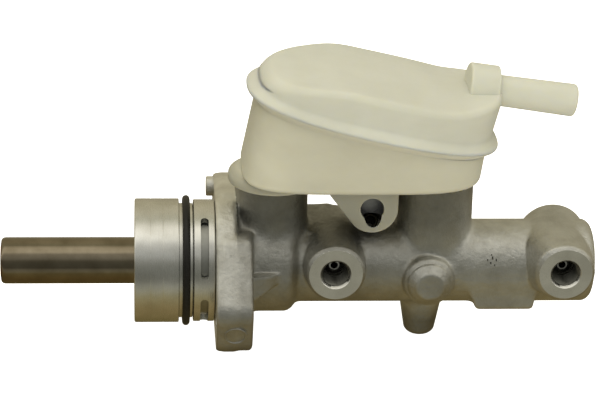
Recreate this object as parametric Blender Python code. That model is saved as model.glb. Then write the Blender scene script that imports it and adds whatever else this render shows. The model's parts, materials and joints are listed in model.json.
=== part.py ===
"""Tandem brake master cylinder with a remote-fed reservoir, at rest.

Frame: +X runs along the bore from the mounting flange to the closed front end, +Z is up towards the
reservoir, and the pipe ports face -Y. The origin is on the bore's axis, in the flange's rear face.
Sizes below are in millimetres; meshes are made in metres.
"""

import math

import bmesh
import bpy
from mathutils import Matrix, Vector

MM = 0.001
GAP = 0.3

# Rotations that carry a shape turned about local Z onto its world axis.
ALONG_BORE = (0, math.radians(90), 0)
TO_FRONT = (math.radians(90), 0, 0)
UPRIGHT = (0, 0, 0)
DOWNWARD = (math.radians(180), 0, 0)

# Bore and pistons (13/16 inch bore class).
PISTON_R = 10.32
BORE_R = 10.9
PISTON_TAIL_X = -94.2
PRIMARY_FRONT_X = 36.5
SECONDARY_REAR_X = 72.0
SECONDARY_FRONT_X = 108.5
SKIRT_R = 7.6
SKIRT_DEPTH = 20.2
PUSHROD_SOCKET_R = 4.8
PUSHROD_SOCKET_DEPTH = 20.0
BORE_END_X = 160.0
TURN_STEPS = 32
INNER_STEPS = 24

# Casting.
BARREL_R = 18.45
FRONT_END_X = 168.5
SHOULDER_R = 22.7
SHOULDER_X = 32.0
SPIGOT_X = -19.4
SPIGOT_R = 19.0
FLANGE_THICK = 9.4
EAR_THICK = 15.8
FLANGE_R = 29.5
EAR_TILT = math.radians(20.6)
EAR_END = 45.8
EAR_HALF_WIDTH = 15.5
EAR_CORNER_R = 9.5
BOLT_RADIUS = 35.5
BOLT_HOLE_R = 4.5
EAR_ROOT = (13.3, 19.3, 4.0)
LOCATING_LUG = (38.8, -8.5)
LOCATING_LUG_R = 4.5
LOCATING_LUG_X = -3.3
GUSSET_X = (8.4, 24.5, 28.5)
GUSSET_Y = (-18.0, -23.8, -26.5)
GUSSET_Z = (4.0, -5.0)
EDGE = 0.8
TURRET_TOP_Z = 39.0
REAR_TURRET_X = 25.4
REAR_TURRET_R = 15.2
FRONT_TURRET_X = 97.0
FRONT_TURRET_R = 16.8
SOCKET_R = 11.2
SOCKET_FLOOR_Z = 27.0
COUNTERBORE_R = 13.3
COUNTERBORE_DEPTH = 2.7
FEED_R = 2.5
BLIND_BOSS = (93.8, 0, -1.5)
BLIND_BOSS_FACE = 26.0
UNDERSIDE_BOSS = (93.0, 0, 0)
UNDERSIDE_BOSS_FACE = 35.2
BACK_WEB = [(40.5, 0), (40.5, 19.8), (42, 21.2), (51, 21.2), (57.5, 12), (57.5, 0)]
BACK_WEB_Y = (2.0, 15.5)
PAD_TOP_X = (111.0, 143.5)
PAD_FACE_X = (115.9, 141.4)
PAD_Z = (-3.0, -17.0)
PAD_HALF_WIDTH = 17.2
SEAL_XS = (17.0, 34.0, 89.0, 106.0)
SEAL_WIDTH = 3.6
SEAL_GROOVE_R = 14.4
GALLERY_R = 12.4
GALLERY_WIDTH = 5.0

# Pipe ports.
PORT_XS = (52.0, 153.0)
PORT_Z = 5.5
PORT_FACE_Y = -27.5
PORT_BACK_Y = 15.0
PORT_ROOT_R = 14.5
PORT_FACE_R = 11.7
PORT_CHAMFER = 2.4
PORT_MOUTH_R = 6.8
THREAD_R = 5.75
THREAD_DEPTH = 12.5
SEAT_R = 4.6
SEAT_TIP_R = 2.4
SEAT_HOLE_R = 1.5
SEAT_RECESS_DEPTH = 2.6

# Rear guide hub, sleeve and O-ring.
HUB_R = 27.5
HUB_REAR_X = -35.5
HUB_SHOULDER_X = -15.9
GROOVE_R = 25.4
HUB_NECK_X = -9.9
HUB_NECK_R = 23.4
HUB_BORE_R = SPIGOT_R + GAP
HUB_WEB_R = 14.3
SLEEVE_R = 27.1
SLEEVE_INNER_R = 24.4
SLOT_X = (-6.6, -3.1)
SLOT_COUNT = 4
SLOT_ANGLE = math.radians(60.4)
SLOT_FIRST = math.radians(37.1)
SLOT_PITCH = math.radians(82.2)
ORING_X = -12.75
ORING_WIRE_R = 1.65

# Reservoir.
FLOOR_Z = 44.1
SEAM_TILT = math.radians(13.0)
SEAM_CENTRE = (67.8, 0.0, 71.25)
BODY_FOOT = (62.7, 52.1, 31.6)
FOOT_POWER = 4.0
BODY_TOP = (51.6, 33.4)
RIM = (56.5, 36.8)
RIM_POWER = 2.5
RIM_THICK = 1.5
WALL = 2.6
LID_HEIGHT = 26.0
LID_PLATEAU_Z = 91.8
LID_BEND_X = 53.0
LID_FLAT_X = 100.4
LID_FLAT_Z = 80.7
DISC_R = 20.0
DISC_BOTTOM_Z = 39.3
FEED_PIPE_R = 7.6
FEED_PIPE_BORE_R = 5.6
FEED_PIPE_END_Z = 28.5
LUG_Y = (-15.0, 11.0)
LUG_CENTRE = (68.2, 31.0)
LUG_R = 11.2
LUG_TOP_X = (43.5, 79.4)
PIN_MOUTH = (68.0, -15.0, 29.0)
PIN_SLOPE = math.radians(45)
PIN_R = 3.2
PIN_HOLE_R = 3.6
PIN_MOUTH_R = 5.3
NIPPLE_START = (108.5, 0.0, 83.0)
NIPPLE_TILT = math.radians(7.8)
NIPPLE_LENGTH = 48.4
NIPPLE_ROOT_R = 6.7
NIPPLE_TIP_R = 7.2
NIPPLE_BORE_R = 4.3
NIPPLE_TURN = (0, math.radians(90) + NIPPLE_TILT, 0)
COLLAR_R = 10.6
COLLAR_LENGTH = 13.0

# Springs, bolt and cups.
SPRING_R = 6.35
WIRE_R = 0.8
SPRING_POINTS_PER_TURN = 12
BOLT_R = 2.2
BOLT_START_X = 8.4
BOLT_HEAD_X = 65.8
BOLT_HEAD_R = 4.0
BOLT_HEAD_THICK = 2.0
CUP_REAR_X = 64.2
CUP_FRONT_X = 71.7
RECESS_R = 5.4
RECESS_DEPTH = 13.0
SEAT_CUP_X = 156.8


def clear_scene():
    for item in list(bpy.data.objects):
        bpy.data.objects.remove(item)


def material(name, colour, roughness, metallic):
    look = bpy.data.materials.new(name)
    look.use_nodes = True
    shader = look.node_tree.nodes["Principled BSDF"]
    shader.inputs["Base Color"].default_value = (*colour, 1)
    shader.inputs["Roughness"].default_value = roughness
    shader.inputs["Metallic"].default_value = metallic
    return look


def empty(name):
    item = bpy.data.objects.new(name, None)
    bpy.context.scene.collection.objects.link(item)
    return item


def solid(name, bm, look, parent=None, at=(0, 0, 0), turn=UPRIGHT):
    """An object from a bmesh whose points are in millimetres."""
    bmesh.ops.remove_doubles(bm, verts=bm.verts, dist=0.0001)
    bmesh.ops.recalc_face_normals(bm, faces=bm.faces)
    bm.transform(Matrix.Scale(MM, 4))
    mesh = bpy.data.meshes.new(name)
    bm.to_mesh(mesh)
    bm.free()
    mesh.materials.append(look)
    mesh.shade_smooth()
    mesh.set_sharp_from_angle(angle=math.radians(35))
    item = bpy.data.objects.new(name, mesh)
    item.location = Vector(at) * MM
    item.rotation_euler = turn
    item.parent = parent
    bpy.context.scene.collection.objects.link(item)
    return item


def turned(name, profile, look, parent=None, at=(0, 0, 0), turn=ALONG_BORE, steps=TURN_STEPS):
    """A body turned from (along, radius) points: a ring if no point is on the axis, else a solid."""
    bm = bmesh.new()
    points = [bm.verts.new((radius, 0, along)) for along, radius in profile]
    pairs = list(zip(points, points[1:]))
    if min(radius for _, radius in profile) > 0:
        pairs.append((points[-1], points[0]))
    edges = [bm.edges.new(pair) for pair in pairs]
    whole = math.tau
    bmesh.ops.spin(bm, geom=points + edges, axis=(0, 0, 1), angle=whole, steps=steps, use_merge=True)
    return solid(name, bm, look, parent, at, turn)


def rod(name, radius, start, end, look, at=(0, 0, 0), turn=ALONG_BORE, steps=TURN_STEPS):
    profile = [(start, 0), (start, radius), (end, radius), (end, 0)]
    return turned(name, profile, look, None, at, turn, steps)


def ring(name, inner, outer, start, end, look, parent):
    profile = [(start, inner), (start, outer), (end, outer), (end, inner)]
    return turned(name, profile, look, parent, steps=INNER_STEPS)


def hull(name, points, look):
    """The convex body round some points."""
    bm = bmesh.new()
    made = [bm.verts.new(point) for point in points]
    found = bmesh.ops.convex_hull(bm, input=made)
    inner = {item for item in found["geom_interior"] if isinstance(item, bmesh.types.BMVert)}
    bmesh.ops.delete(bm, geom=list(inner), context="VERTS")
    flat = math.radians(1)
    bmesh.ops.dissolve_limit(bm, angle_limit=flat, verts=bm.verts, edges=bm.edges)
    return solid(name, bm, look)


def prism(name, outline, low, high, place, look):
    """An outline of (u, v) points extruded from low to high; place turns (u, v, depth) into a point."""
    bm = bmesh.new()
    rings = [[bm.verts.new(place(u, v, depth)) for u, v in outline] for depth in (low, high)]
    close_rings(bm, rings)
    return solid(name, bm, look)


def close_rings(bm, rings):
    """Walls between rings of equal length, and a cap on the first and the last."""
    count = len(rings[0])
    for lower, upper in zip(rings, rings[1:]):
        for i in range(count):
            j = (i + 1) % count
            bm.faces.new((lower[i], lower[j], upper[j], upper[i]))
    bm.faces.new(rings[0])
    bm.faces.new(rings[-1])


def combine(target, operation, tools, solver="EXACT"):
    """Joins tools to the target or cuts them from it; a tool is no piece of its own."""
    for tool in tools:
        tool.hide_render = True
        tool.display_type = "WIRE"
        modifier = target.modifiers.new(tool.name, "BOOLEAN")
        modifier.operation = operation
        modifier.solver = solver
        modifier.object = tool


def rounded_corners(centres, radius, low, high, steps=12):
    """Points of chamfered discs round each (y, z) centre, from low to high along X."""
    points = []
    for y, z in centres:
        for x, shrink in ((low, EDGE), (low + EDGE, 0), (high - EDGE, 0), (high, EDGE)):
            for i in range(steps):
                angle = math.tau * i / steps
                reach = radius - shrink
                points.append((x, y + reach * math.cos(angle), z + reach * math.sin(angle)))
    return points


def ear_point(along, across, side):
    """(y, z) of a point on the line of the two bolts; side 1 is the lower ear at the front."""
    y = -math.cos(EAR_TILT) * along - math.sin(EAR_TILT) * across
    z = -math.sin(EAR_TILT) * along + math.cos(EAR_TILT) * across
    return side * y, side * z


def flange_tools(look):
    """The two-eared flange plate, the thick ear bosses and the locating lug behind the upper ear."""
    corner = EAR_END - EAR_CORNER_R
    offset = EAR_HALF_WIDTH - EAR_CORNER_R
    ends = {side: [ear_point(corner, across, side) for across in (-offset, offset)] for side in (1, -1)}
    plate = rounded_corners(ends[1] + ends[-1], EAR_CORNER_R, 0, FLANGE_THICK)
    plate += rounded_corners([(0, 0)], FLANGE_R, 0, FLANGE_THICK, TURN_STEPS)
    tools = [hull("flange_plate", plate, look)]
    for side in (1, -1):
        boss = rounded_corners(ends[side], EAR_CORNER_R - 0.5, 2, EAR_THICK)
        along, half, radius = EAR_ROOT
        inner = [ear_point(along, across, side) for across in (-half, half)]
        boss += rounded_corners(inner, radius, 2, EAR_THICK)
        tools.append(hull(f"ear_boss_{side}", boss, look))
    lug_at = (0, *ear_point(*LOCATING_LUG, -1))
    lug = rod("locating_lug", LOCATING_LUG_R, LOCATING_LUG_X, 2, look, lug_at, steps=24)
    return tools + [lug]


def gusset(look):
    """The small wedge between flange and shoulder on the port side."""
    rear, shoulder, tip = GUSSET_X
    inner, front, outer = GUSSET_Y
    points = []
    for z in GUSSET_Z:
        points += [(rear, inner, z), (rear, outer, z - 1.5), (tip, inner, z), (shoulder, front, z - 1)]
    return hull("gusset", points, look)


def cylinder_body(look, parent):
    """The casting: barrel, flange, turrets, port bosses, blind boss, underside boss, pad and back web."""
    slope = SHOULDER_X + SHOULDER_R - BARREL_R
    outer = [
        (SPIGOT_X, 0),
        (SPIGOT_X, SPIGOT_R - 1),
        (SPIGOT_X + 1, SPIGOT_R),
        (-GAP, SPIGOT_R),
        (-GAP, SHOULDER_R - 2),
        (2, SHOULDER_R),
        (SHOULDER_X, SHOULDER_R),
        (slope, BARREL_R),
        (FRONT_END_X - 3.5, BARREL_R),
        (FRONT_END_X - 1.0, BARREL_R - 1.1),
        (FRONT_END_X, BARREL_R - 3.6),
        (FRONT_END_X, 0),
    ]
    body = turned("cylinder_body", outer, look, parent)
    tools = flange_tools(look)
    tools.append(gusset(look))
    for name, x, radius in (
        ("rear_turret", REAR_TURRET_X, REAR_TURRET_R),
        ("front_turret", FRONT_TURRET_X, FRONT_TURRET_R),
    ):
        profile = [(0, 0), (0, radius + 0.6), (TURRET_TOP_Z - 1, radius), (TURRET_TOP_Z, radius - 1), (TURRET_TOP_Z, 0)]
        tools.append(turned(name, profile, look, None, (x, 0, 0), UPRIGHT))
    for i, x in enumerate(PORT_XS):
        boss = [
            (-PORT_BACK_Y, 0),
            (-PORT_BACK_Y, PORT_ROOT_R - 2.5),
            (-PORT_BACK_Y + 2, PORT_ROOT_R - 0.5),
            (4, PORT_ROOT_R),
            (-PORT_FACE_Y - PORT_CHAMFER, PORT_FACE_R + 2.6),
            (-PORT_FACE_Y, PORT_FACE_R),
            (-PORT_FACE_Y, 0),
        ]
        tools.append(turned(f"port_boss_{i}", boss, look, None, (x, 0, PORT_Z), TO_FRONT))
    face = BLIND_BOSS_FACE
    blind = [(0, 0), (0, 11.4), (face - 6, 11.2), (face - 5, 9.7)]
    blind += [(face - 2.2, 9.0), (face - 1.2, 6.6), (face, 5.6), (face, 0)]
    tools.append(turned("blind_boss", blind, look, None, BLIND_BOSS, TO_FRONT, 32))
    face = UNDERSIDE_BOSS_FACE
    nub = [(0, 0), (0, 10.6), (18, 9.8), (face - 3.2, 7.2), (face - 0.6, 5.2), (face, 3), (face, 0)]
    tools.append(turned("underside_boss", nub, look, None, UNDERSIDE_BOSS, DOWNWARD, 32))
    pad = [(x, PAD_Z[0]) for x in PAD_TOP_X] + [(x, PAD_Z[1]) for x in PAD_FACE_X[::-1]]
    half = PAD_HALF_WIDTH
    tools.append(prism("underside_pad", pad, -half, half, lambda u, v, depth: (u, depth, v), look))
    tools.append(prism("back_web", BACK_WEB, *BACK_WEB_Y, lambda u, v, depth: (u, depth, v), look))
    combine(body, "UNION", tools, "MANIFOLD")
    combine(body, "DIFFERENCE", body_cutters(look), "MANIFOLD")
    return body


def body_cutters(look):
    """Bore, seal grooves, feed galleries, turret sockets, ports, bolt holes and the pin hole."""
    bore = [(SPIGOT_X - 5, 0), (SPIGOT_X - 5, BORE_R)]
    half_seal = SEAL_WIDTH / 2 + GAP
    half_gallery = GALLERY_WIDTH / 2
    feeds = (REAR_TURRET_X, FRONT_TURRET_X)
    grooves = [(x - half_seal, x + half_seal, SEAL_GROOVE_R) for x in SEAL_XS]
    grooves += [(x - half_gallery, x + half_gallery, GALLERY_R) for x in feeds]
    for low, high, radius in sorted(grooves):
        bore += [(low, BORE_R), (low, radius), (high, radius), (high, BORE_R)]
    bore += [(BORE_END_X, BORE_R), (BORE_END_X + 4, 0)]
    cutters = [turned("bore", bore, look, steps=INNER_STEPS)]
    for i, x in enumerate(feeds):
        socket = [
            (BORE_R - 2, 0),
            (BORE_R - 2, FEED_R),
            (SOCKET_FLOOR_Z, FEED_R),
            (SOCKET_FLOOR_Z, SOCKET_R),
            (TURRET_TOP_Z - COUNTERBORE_DEPTH, SOCKET_R),
            (TURRET_TOP_Z - COUNTERBORE_DEPTH, COUNTERBORE_R),
            (TURRET_TOP_Z + 3, COUNTERBORE_R),
            (TURRET_TOP_Z + 3, 0),
        ]
        cutters.append(turned(f"turret_socket_{i}", socket, look, None, (x, 0, 0), UPRIGHT, 32))
    face = -PORT_FACE_Y
    for i, x in enumerate(PORT_XS):
        port = [
            (5, 0),
            (5, 2),
            (face - THREAD_DEPTH - SEAT_RECESS_DEPTH, 2),
            (face - THREAD_DEPTH - SEAT_RECESS_DEPTH, SEAT_R + GAP),
            (face - THREAD_DEPTH, SEAT_R + GAP),
            (face - THREAD_DEPTH, THREAD_R),
            (face - 1.2, THREAD_R),
            (face, PORT_MOUTH_R),
            (face + 3, PORT_MOUTH_R + 3),
            (face + 3, 0),
        ]
        cutters.append(turned(f"port_{i}", port, look, None, (x, 0, PORT_Z), TO_FRONT, 32))
    for side in (1, -1):
        y, z = ear_point(BOLT_RADIUS, 0, side)
        cutters.append(rod(f"bolt_hole_{side}", BOLT_HOLE_R, -10, 30, look, (0, y, z), steps=24))
    cutters.append(pin_rod("pin_hole_in_body", PIN_R + GAP, 8.0, 17.5, look))
    return cutters


def pin_rod(name, radius, start, end, look):
    """A rod along the slanted line of the spring pin."""
    turn = (-math.radians(90) - PIN_SLOPE, 0, 0)
    profile = [(start, 0), (start, radius), (end, radius), (end, 0)]
    return turned(name, profile, look, None, PIN_MOUTH, turn, 24)


def rear_guide_hub(look, parent):
    """Machined hub: big land, O-ring groove and a neck that the slotted sleeve sits round."""
    profile = [
        (HUB_REAR_X, HUB_WEB_R),
        (HUB_REAR_X, HUB_R - 0.8),
        (HUB_REAR_X + 0.8, HUB_R),
        (HUB_SHOULDER_X - 0.4, HUB_R),
        (HUB_SHOULDER_X, HUB_R - 0.4),
        (HUB_SHOULDER_X, GROOVE_R),
        (HUB_NECK_X, GROOVE_R),
        (HUB_NECK_X, HUB_NECK_R),
        (-GAP - 0.3, HUB_NECK_R),
        (-GAP - 0.3, HUB_BORE_R),
        (SPIGOT_X - GAP, HUB_BORE_R),
        (SPIGOT_X - GAP, HUB_WEB_R),
        (-33.1, HUB_WEB_R),
        (-33.1, HUB_WEB_R + 1.2),
        (-34.9, HUB_WEB_R + 1.2),
        (-34.9, HUB_WEB_R),
    ]
    return turned("rear_guide_hub", profile, look, parent)


def slotted_sleeve(look, parent):
    """Spacer ring with four long windows round its lower part."""
    profile = [
        (HUB_NECK_X + GAP, SLEEVE_INNER_R),
        (HUB_NECK_X + GAP, SLEEVE_R - 0.5),
        (HUB_NECK_X + GAP + 0.5, SLEEVE_R),
        (-0.8, SLEEVE_R),
        (-GAP, SLEEVE_R - 0.5),
        (-GAP, SLEEVE_INNER_R),
    ]
    sleeve = turned("slotted_sleeve", profile, look, parent)
    cutters = []
    steps = 10
    for n in range(SLOT_COUNT):
        start = SLOT_FIRST - n * SLOT_PITCH - SLOT_ANGLE / 2
        angles = [start + SLOT_ANGLE * i / steps for i in range(steps + 1)]
        outline = [polar(SLEEVE_R + 2, a) for a in angles] + [polar(SLEEVE_INNER_R - 2, a) for a in angles[::-1]]
        name = f"sleeve_window_{n}"
        cutters.append(prism(name, outline, *SLOT_X, lambda u, v, depth: (depth, u, v), look))
    combine(sleeve, "DIFFERENCE", cutters, "MANIFOLD")
    return sleeve


def polar(radius, angle):
    """(y, z) at an angle measured from -Y towards +Z."""
    return -radius * math.cos(angle), radius * math.sin(angle)


def torus_profile(along, radius, wire, steps=8):
    turns = [math.tau * i / steps for i in range(steps)]
    return [(along + wire * math.cos(a), radius + wire * math.sin(a)) for a in turns]


def seals(look, parent):
    """O-ring, vacuum seal and the four lip seals in the bore's grooves."""
    oring_r = GROOVE_R + 0.25 + ORING_WIRE_R
    turned("hub_oring", torus_profile(ORING_X, oring_r, ORING_WIRE_R), look, parent)
    inner, outer = PISTON_R + GAP, HUB_WEB_R - GAP
    lip = [(-24.8, inner), (-24.8, outer), (-20.2, outer), (-20.2, outer - 1), (-23, outer - 1.3), (-22.6, inner)]
    turned("rod_vacuum_seal", lip, look, parent, steps=INNER_STEPS)
    names = ("primary_rear_seal", "primary_pressure_seal", "secondary_rear_seal", "secondary_pressure_seal")
    outer = SEAL_GROOVE_R - GAP
    for name, x in zip(names, SEAL_XS):
        back, front = x - SEAL_WIDTH / 2, x + SEAL_WIDTH / 2
        notch = (inner + outer) / 2
        cup = [(back, inner + 0.3), (back, outer), (front, outer), (front - 1.6, notch), (front, inner)]
        turned(name, cup, look, parent, steps=INNER_STEPS)


def hub_insides(bush_look, ring_look, parent):
    """Guide bush and the snap ring that keeps it in."""
    ring("guide_bush", PISTON_R + GAP, HUB_WEB_R - GAP, -32.8, -25.1, bush_look, parent)
    snap = ring("hub_snap_ring", 12.2, HUB_WEB_R + 0.9, -34.6, -33.4, ring_look, parent)
    mouth = [(-16, -2.6), (-11, -2.6), (-11, 2.6), (-16, 2.6)]
    gap = prism("snap_ring_mouth", mouth, -36, -32, lambda u, v, depth: (depth, v, u), ring_look)
    combine(snap, "DIFFERENCE", [gap])


def port_seats(look, parent):
    """Flared-pipe seats at the bottom of the two ports."""
    base = -PORT_FACE_Y - THREAD_DEPTH - SEAT_RECESS_DEPTH + GAP
    shoulder = base + SEAT_RECESS_DEPTH
    profile = [
        (base, SEAT_HOLE_R),
        (base, SEAT_R),
        (shoulder, SEAT_R),
        (shoulder + 2.2, SEAT_TIP_R),
        (shoulder + 2.2, SEAT_HOLE_R),
    ]
    for name, x in zip(("rear_port_seat", "front_port_seat"), PORT_XS):
        turned(name, profile, look, parent, (x, 0, PORT_Z), TO_FRONT, 24)


def grommets(look, parent):
    """Rubber bushes that seal the reservoir's feed pipes in the turrets."""
    lip_z = TURRET_TOP_Z - COUNTERBORE_DEPTH + GAP
    profile = [
        (SOCKET_FLOOR_Z + GAP, FEED_PIPE_R + GAP),
        (SOCKET_FLOOR_Z + GAP, SOCKET_R - 1),
        (SOCKET_FLOOR_Z + 2, SOCKET_R - GAP),
        (lip_z, SOCKET_R - GAP),
        (lip_z, COUNTERBORE_R - GAP),
        (TURRET_TOP_Z, COUNTERBORE_R - GAP),
        (TURRET_TOP_Z, FEED_PIPE_R + GAP),
    ]
    for name, x in (("rear_grommet", REAR_TURRET_X), ("front_grommet", FRONT_TURRET_X)):
        turned(name, profile, look, parent, (x, 0, 0), UPRIGHT, 32)


def superellipse(half_x, half_y, power, steps=36):
    outline = []
    for i in range(steps):
        angle = math.tau * (i + 0.5) / steps
        c, s = math.cos(angle), math.sin(angle)
        x = half_x * math.copysign(abs(c) ** (2 / power), c)
        y = half_y * math.copysign(abs(s) ** (2 / power), s)
        outline.append((x, y))
    return outline


def on_seam(u, v, height):
    """A point in the tilted frame of the weld seam: u runs down to the front, height along its normal."""
    x = SEAM_CENTRE[0] + u * math.cos(SEAM_TILT) + height * math.sin(SEAM_TILT)
    z = SEAM_CENTRE[2] - u * math.sin(SEAM_TILT) + height * math.cos(SEAM_TILT)
    return x, v, z


def tub(name, inset, floor, top, look):
    """The lower shell's outer or inner form: an upright foot blended into the tilted seam."""
    bm = bmesh.new()
    centre, half_x, half_y = BODY_FOOT
    foot = superellipse(half_x - inset, half_y - inset, FOOT_POWER)
    head = superellipse(BODY_TOP[0] - inset, BODY_TOP[1] - inset, RIM_POWER + 0.3)
    lower = [bm.verts.new((centre + x, y, floor)) for x, y in foot]
    upper = [bm.verts.new(on_seam(u, v, top)) for u, v in head]
    close_rings(bm, [lower, upper])
    return solid(name, bm, look)


def reservoir_lower_shell(look, parent):
    """Tub with weld rim, skirt disc over the rear turret, two feed pipes and the retaining lug."""
    bm = bmesh.new()
    rim = superellipse(*RIM, RIM_POWER)
    rings = [[bm.verts.new(on_seam(u, v, h)) for u, v in rim] for h in (-RIM_THICK - 0.15, -0.15)]
    close_rings(bm, rings)
    shell = solid("reservoir_lower_shell", bm, look, parent)
    disc = [(DISC_BOTTOM_Z, 0), (DISC_BOTTOM_Z, DISC_R - 1), (DISC_BOTTOM_Z + 1, DISC_R)]
    disc += [(FLOOR_Z - 1, DISC_R), (FLOOR_Z + 1, DISC_R - 2), (FLOOR_Z + 1, 0)]
    tools = [tub("tub_outside", 0, FLOOR_Z, -0.6, look)]
    tools.append(turned("skirt_disc", disc, look, None, (REAR_TURRET_X, 0, 0), UPRIGHT))
    skirt = [(DISC_BOTTOM_Z, 0), (DISC_BOTTOM_Z, 14), (FLOOR_Z + 1, 15), (FLOOR_Z + 1, 0)]
    tools.append(turned("front_skirt", skirt, look, None, (FRONT_TURRET_X, 0, 0), UPRIGHT, 32))
    feeds = (REAR_TURRET_X, FRONT_TURRET_X)
    for i, x in enumerate(feeds):
        tools.append(rod(f"feed_pipe_{i}", FEED_PIPE_R, FEED_PIPE_END_Z, FLOOR_Z + 1, look, (x, 0, 0), UPRIGHT, 32))
    centre_x, centre_z = LUG_CENTRE
    lug = [(LUG_TOP_X[1], FLOOR_Z + 1), (LUG_TOP_X[0], FLOOR_Z + 1)]
    arc = [math.radians(215 + 145 * i / 14) for i in range(15)]
    lug += [(centre_x + LUG_R * math.cos(a), centre_z + LUG_R * math.sin(a)) for a in arc]
    tools.append(prism("lug", lug, *LUG_Y, lambda u, v, depth: (u, depth, v), look))
    combine(shell, "UNION", tools, "MANIFOLD")
    cutters = [tub("tub_inside", WALL, FLOOR_Z + WALL, 0.4, look)]
    for i, x in enumerate(feeds):
        start, end = FEED_PIPE_END_Z - 5, FLOOR_Z + 10
        cutters.append(rod(f"feed_bore_{i}", FEED_PIPE_BORE_R, start, end, look, (x, 0, 0), UPRIGHT, 32))
    cutters.append(pin_rod("pin_hole", PIN_HOLE_R, -12, 30, look))
    mouth_at = (PIN_MOUTH[0], 0, PIN_MOUTH[2] + 2.0)
    cutters.append(rod("pin_mouth", PIN_MOUTH_R, 11.5, 30, look, mouth_at, TO_FRONT, 24))
    combine(shell, "DIFFERENCE", cutters, "MANIFOLD")
    return shell


def lid_form(name, inset, base, look):
    """The lid's outer or inner form: seam outline drawn up to a ceiling that is level, slopes, then flattens."""
    outline = superellipse(BODY_TOP[0] + 0.6 - inset, BODY_TOP[1] - inset, RIM_POWER + 0.3)
    form = prism(name, outline, base, LID_HEIGHT, on_seam, look)
    drop = inset * 1.03
    profile = [
        (-20, 20),
        (170, 20),
        (170, LID_FLAT_Z - 0.8 - drop),
        (LID_FLAT_X, LID_FLAT_Z - drop),
        (LID_BEND_X, LID_PLATEAU_Z - drop),
        (-20, LID_PLATEAU_Z - drop),
    ]
    ceiling = prism(name + "_ceiling", profile, -60, 60, lambda u, v, depth: (u, depth, v), look)
    combine(form, "INTERSECT", [ceiling])
    return form


def reservoir_upper_shell(look, parent):
    """Lid with its half of the weld rim, notched at the front for the hose nipple's collar."""
    bm = bmesh.new()
    rim = superellipse(*RIM, RIM_POWER)
    rings = [[bm.verts.new(on_seam(u, v, h)) for u, v in rim] for h in (0.15, RIM_THICK + 0.15)]
    close_rings(bm, rings)
    shell = solid("reservoir_upper_shell", bm, look, parent)
    combine(shell, "UNION", [lid_form("lid_outside", 0, 0.6, look)], "MANIFOLD")
    notch = [
        (-GAP, 0),
        (-GAP, COLLAR_R + GAP),
        (COLLAR_LENGTH + GAP, COLLAR_R + GAP),
        (COLLAR_LENGTH + GAP, NIPPLE_TIP_R + GAP),
        (COLLAR_LENGTH + 10, NIPPLE_TIP_R + GAP),
        (COLLAR_LENGTH + 10, 0),
    ]
    notch = turned("collar_notch", notch, look, None, NIPPLE_START, NIPPLE_TURN)
    combine(shell, "DIFFERENCE", [lid_form("lid_inside", WALL, -3, look), notch], "MANIFOLD")
    return shell


def hose_nipple(look, parent):
    """Collar on the lid's front end and the nipple for the filler hose; a well under the collar feeds the lid."""
    profile = [
        (0, 0),
        (0, COLLAR_R),
        (COLLAR_LENGTH, COLLAR_R),
        (COLLAR_LENGTH, NIPPLE_ROOT_R),
        (NIPPLE_LENGTH - 2, NIPPLE_TIP_R),
        (NIPPLE_LENGTH - 0.5, NIPPLE_TIP_R - 0.8),
        (NIPPLE_LENGTH, NIPPLE_TIP_R - 1.8),
        (NIPPLE_LENGTH, NIPPLE_BORE_R),
        (4, NIPPLE_BORE_R),
        (4, 0),
    ]
    nipple = turned("hose_nipple", profile, look, parent, NIPPLE_START, NIPPLE_TURN)
    well_x, _, well_z = NIPPLE_START
    well = [(well_x + 2, 60), (well_x + 11, 60), (well_x + 11, well_z + 3), (well_x + 2, well_z + 4)]
    cutter = prism("collar_well", well, -5, 5, lambda u, v, depth: (u, depth, v), look)
    combine(nipple, "DIFFERENCE", [cutter], "MANIFOLD")
    return nipple


def reservoir_baffle(look, parent):
    """Upright plate that keeps fluid in each circuit's half of the reservoir."""
    half = BODY_FOOT[2] - WALL - 1.0
    plate = [(-half, FLOOR_Z + WALL + GAP), (half, FLOOR_Z + WALL + GAP), (half, 64), (-half, 64)]
    plate = prism("reservoir_baffle", plate, 60.5, 62.5, lambda u, v, depth: (depth, u, v), look)
    plate.parent = parent
    return plate


def reservoir_pin(look, parent):
    """Slotted spring pin that ties the lug to the casting."""
    pin = pin_rod("reservoir_pin", PIN_R, 3.5, 17.0, look)
    pin.parent = parent
    hollow = pin_rod("pin_hollow", PIN_R - 0.9, 0, 25, look)
    slit_turn = pin.rotation_euler
    slit = solid("pin_slit", box_mesh((0.45, 6, 30), (0, 3, 12)), look, None, PIN_MOUTH, slit_turn)
    combine(pin, "DIFFERENCE", [hollow, slit])
    return pin


def box_mesh(half, centre):
    bm = bmesh.new()
    bmesh.ops.create_cube(bm, size=2)
    bmesh.ops.scale(bm, vec=half, verts=bm.verts)
    bmesh.ops.translate(bm, vec=centre, verts=bm.verts)
    return bm


def radial_holes(name, x, look, count=4):
    """Cutters for a piston's replenishing holes."""
    tools = []
    for i in range(count):
        turn = (math.tau * i / count, 0, 0)
        tools.append(rod(f"{name}_{i}", 0.9, 4, 14, look, (x, 0, 0), turn, 6))
    return tools


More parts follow.
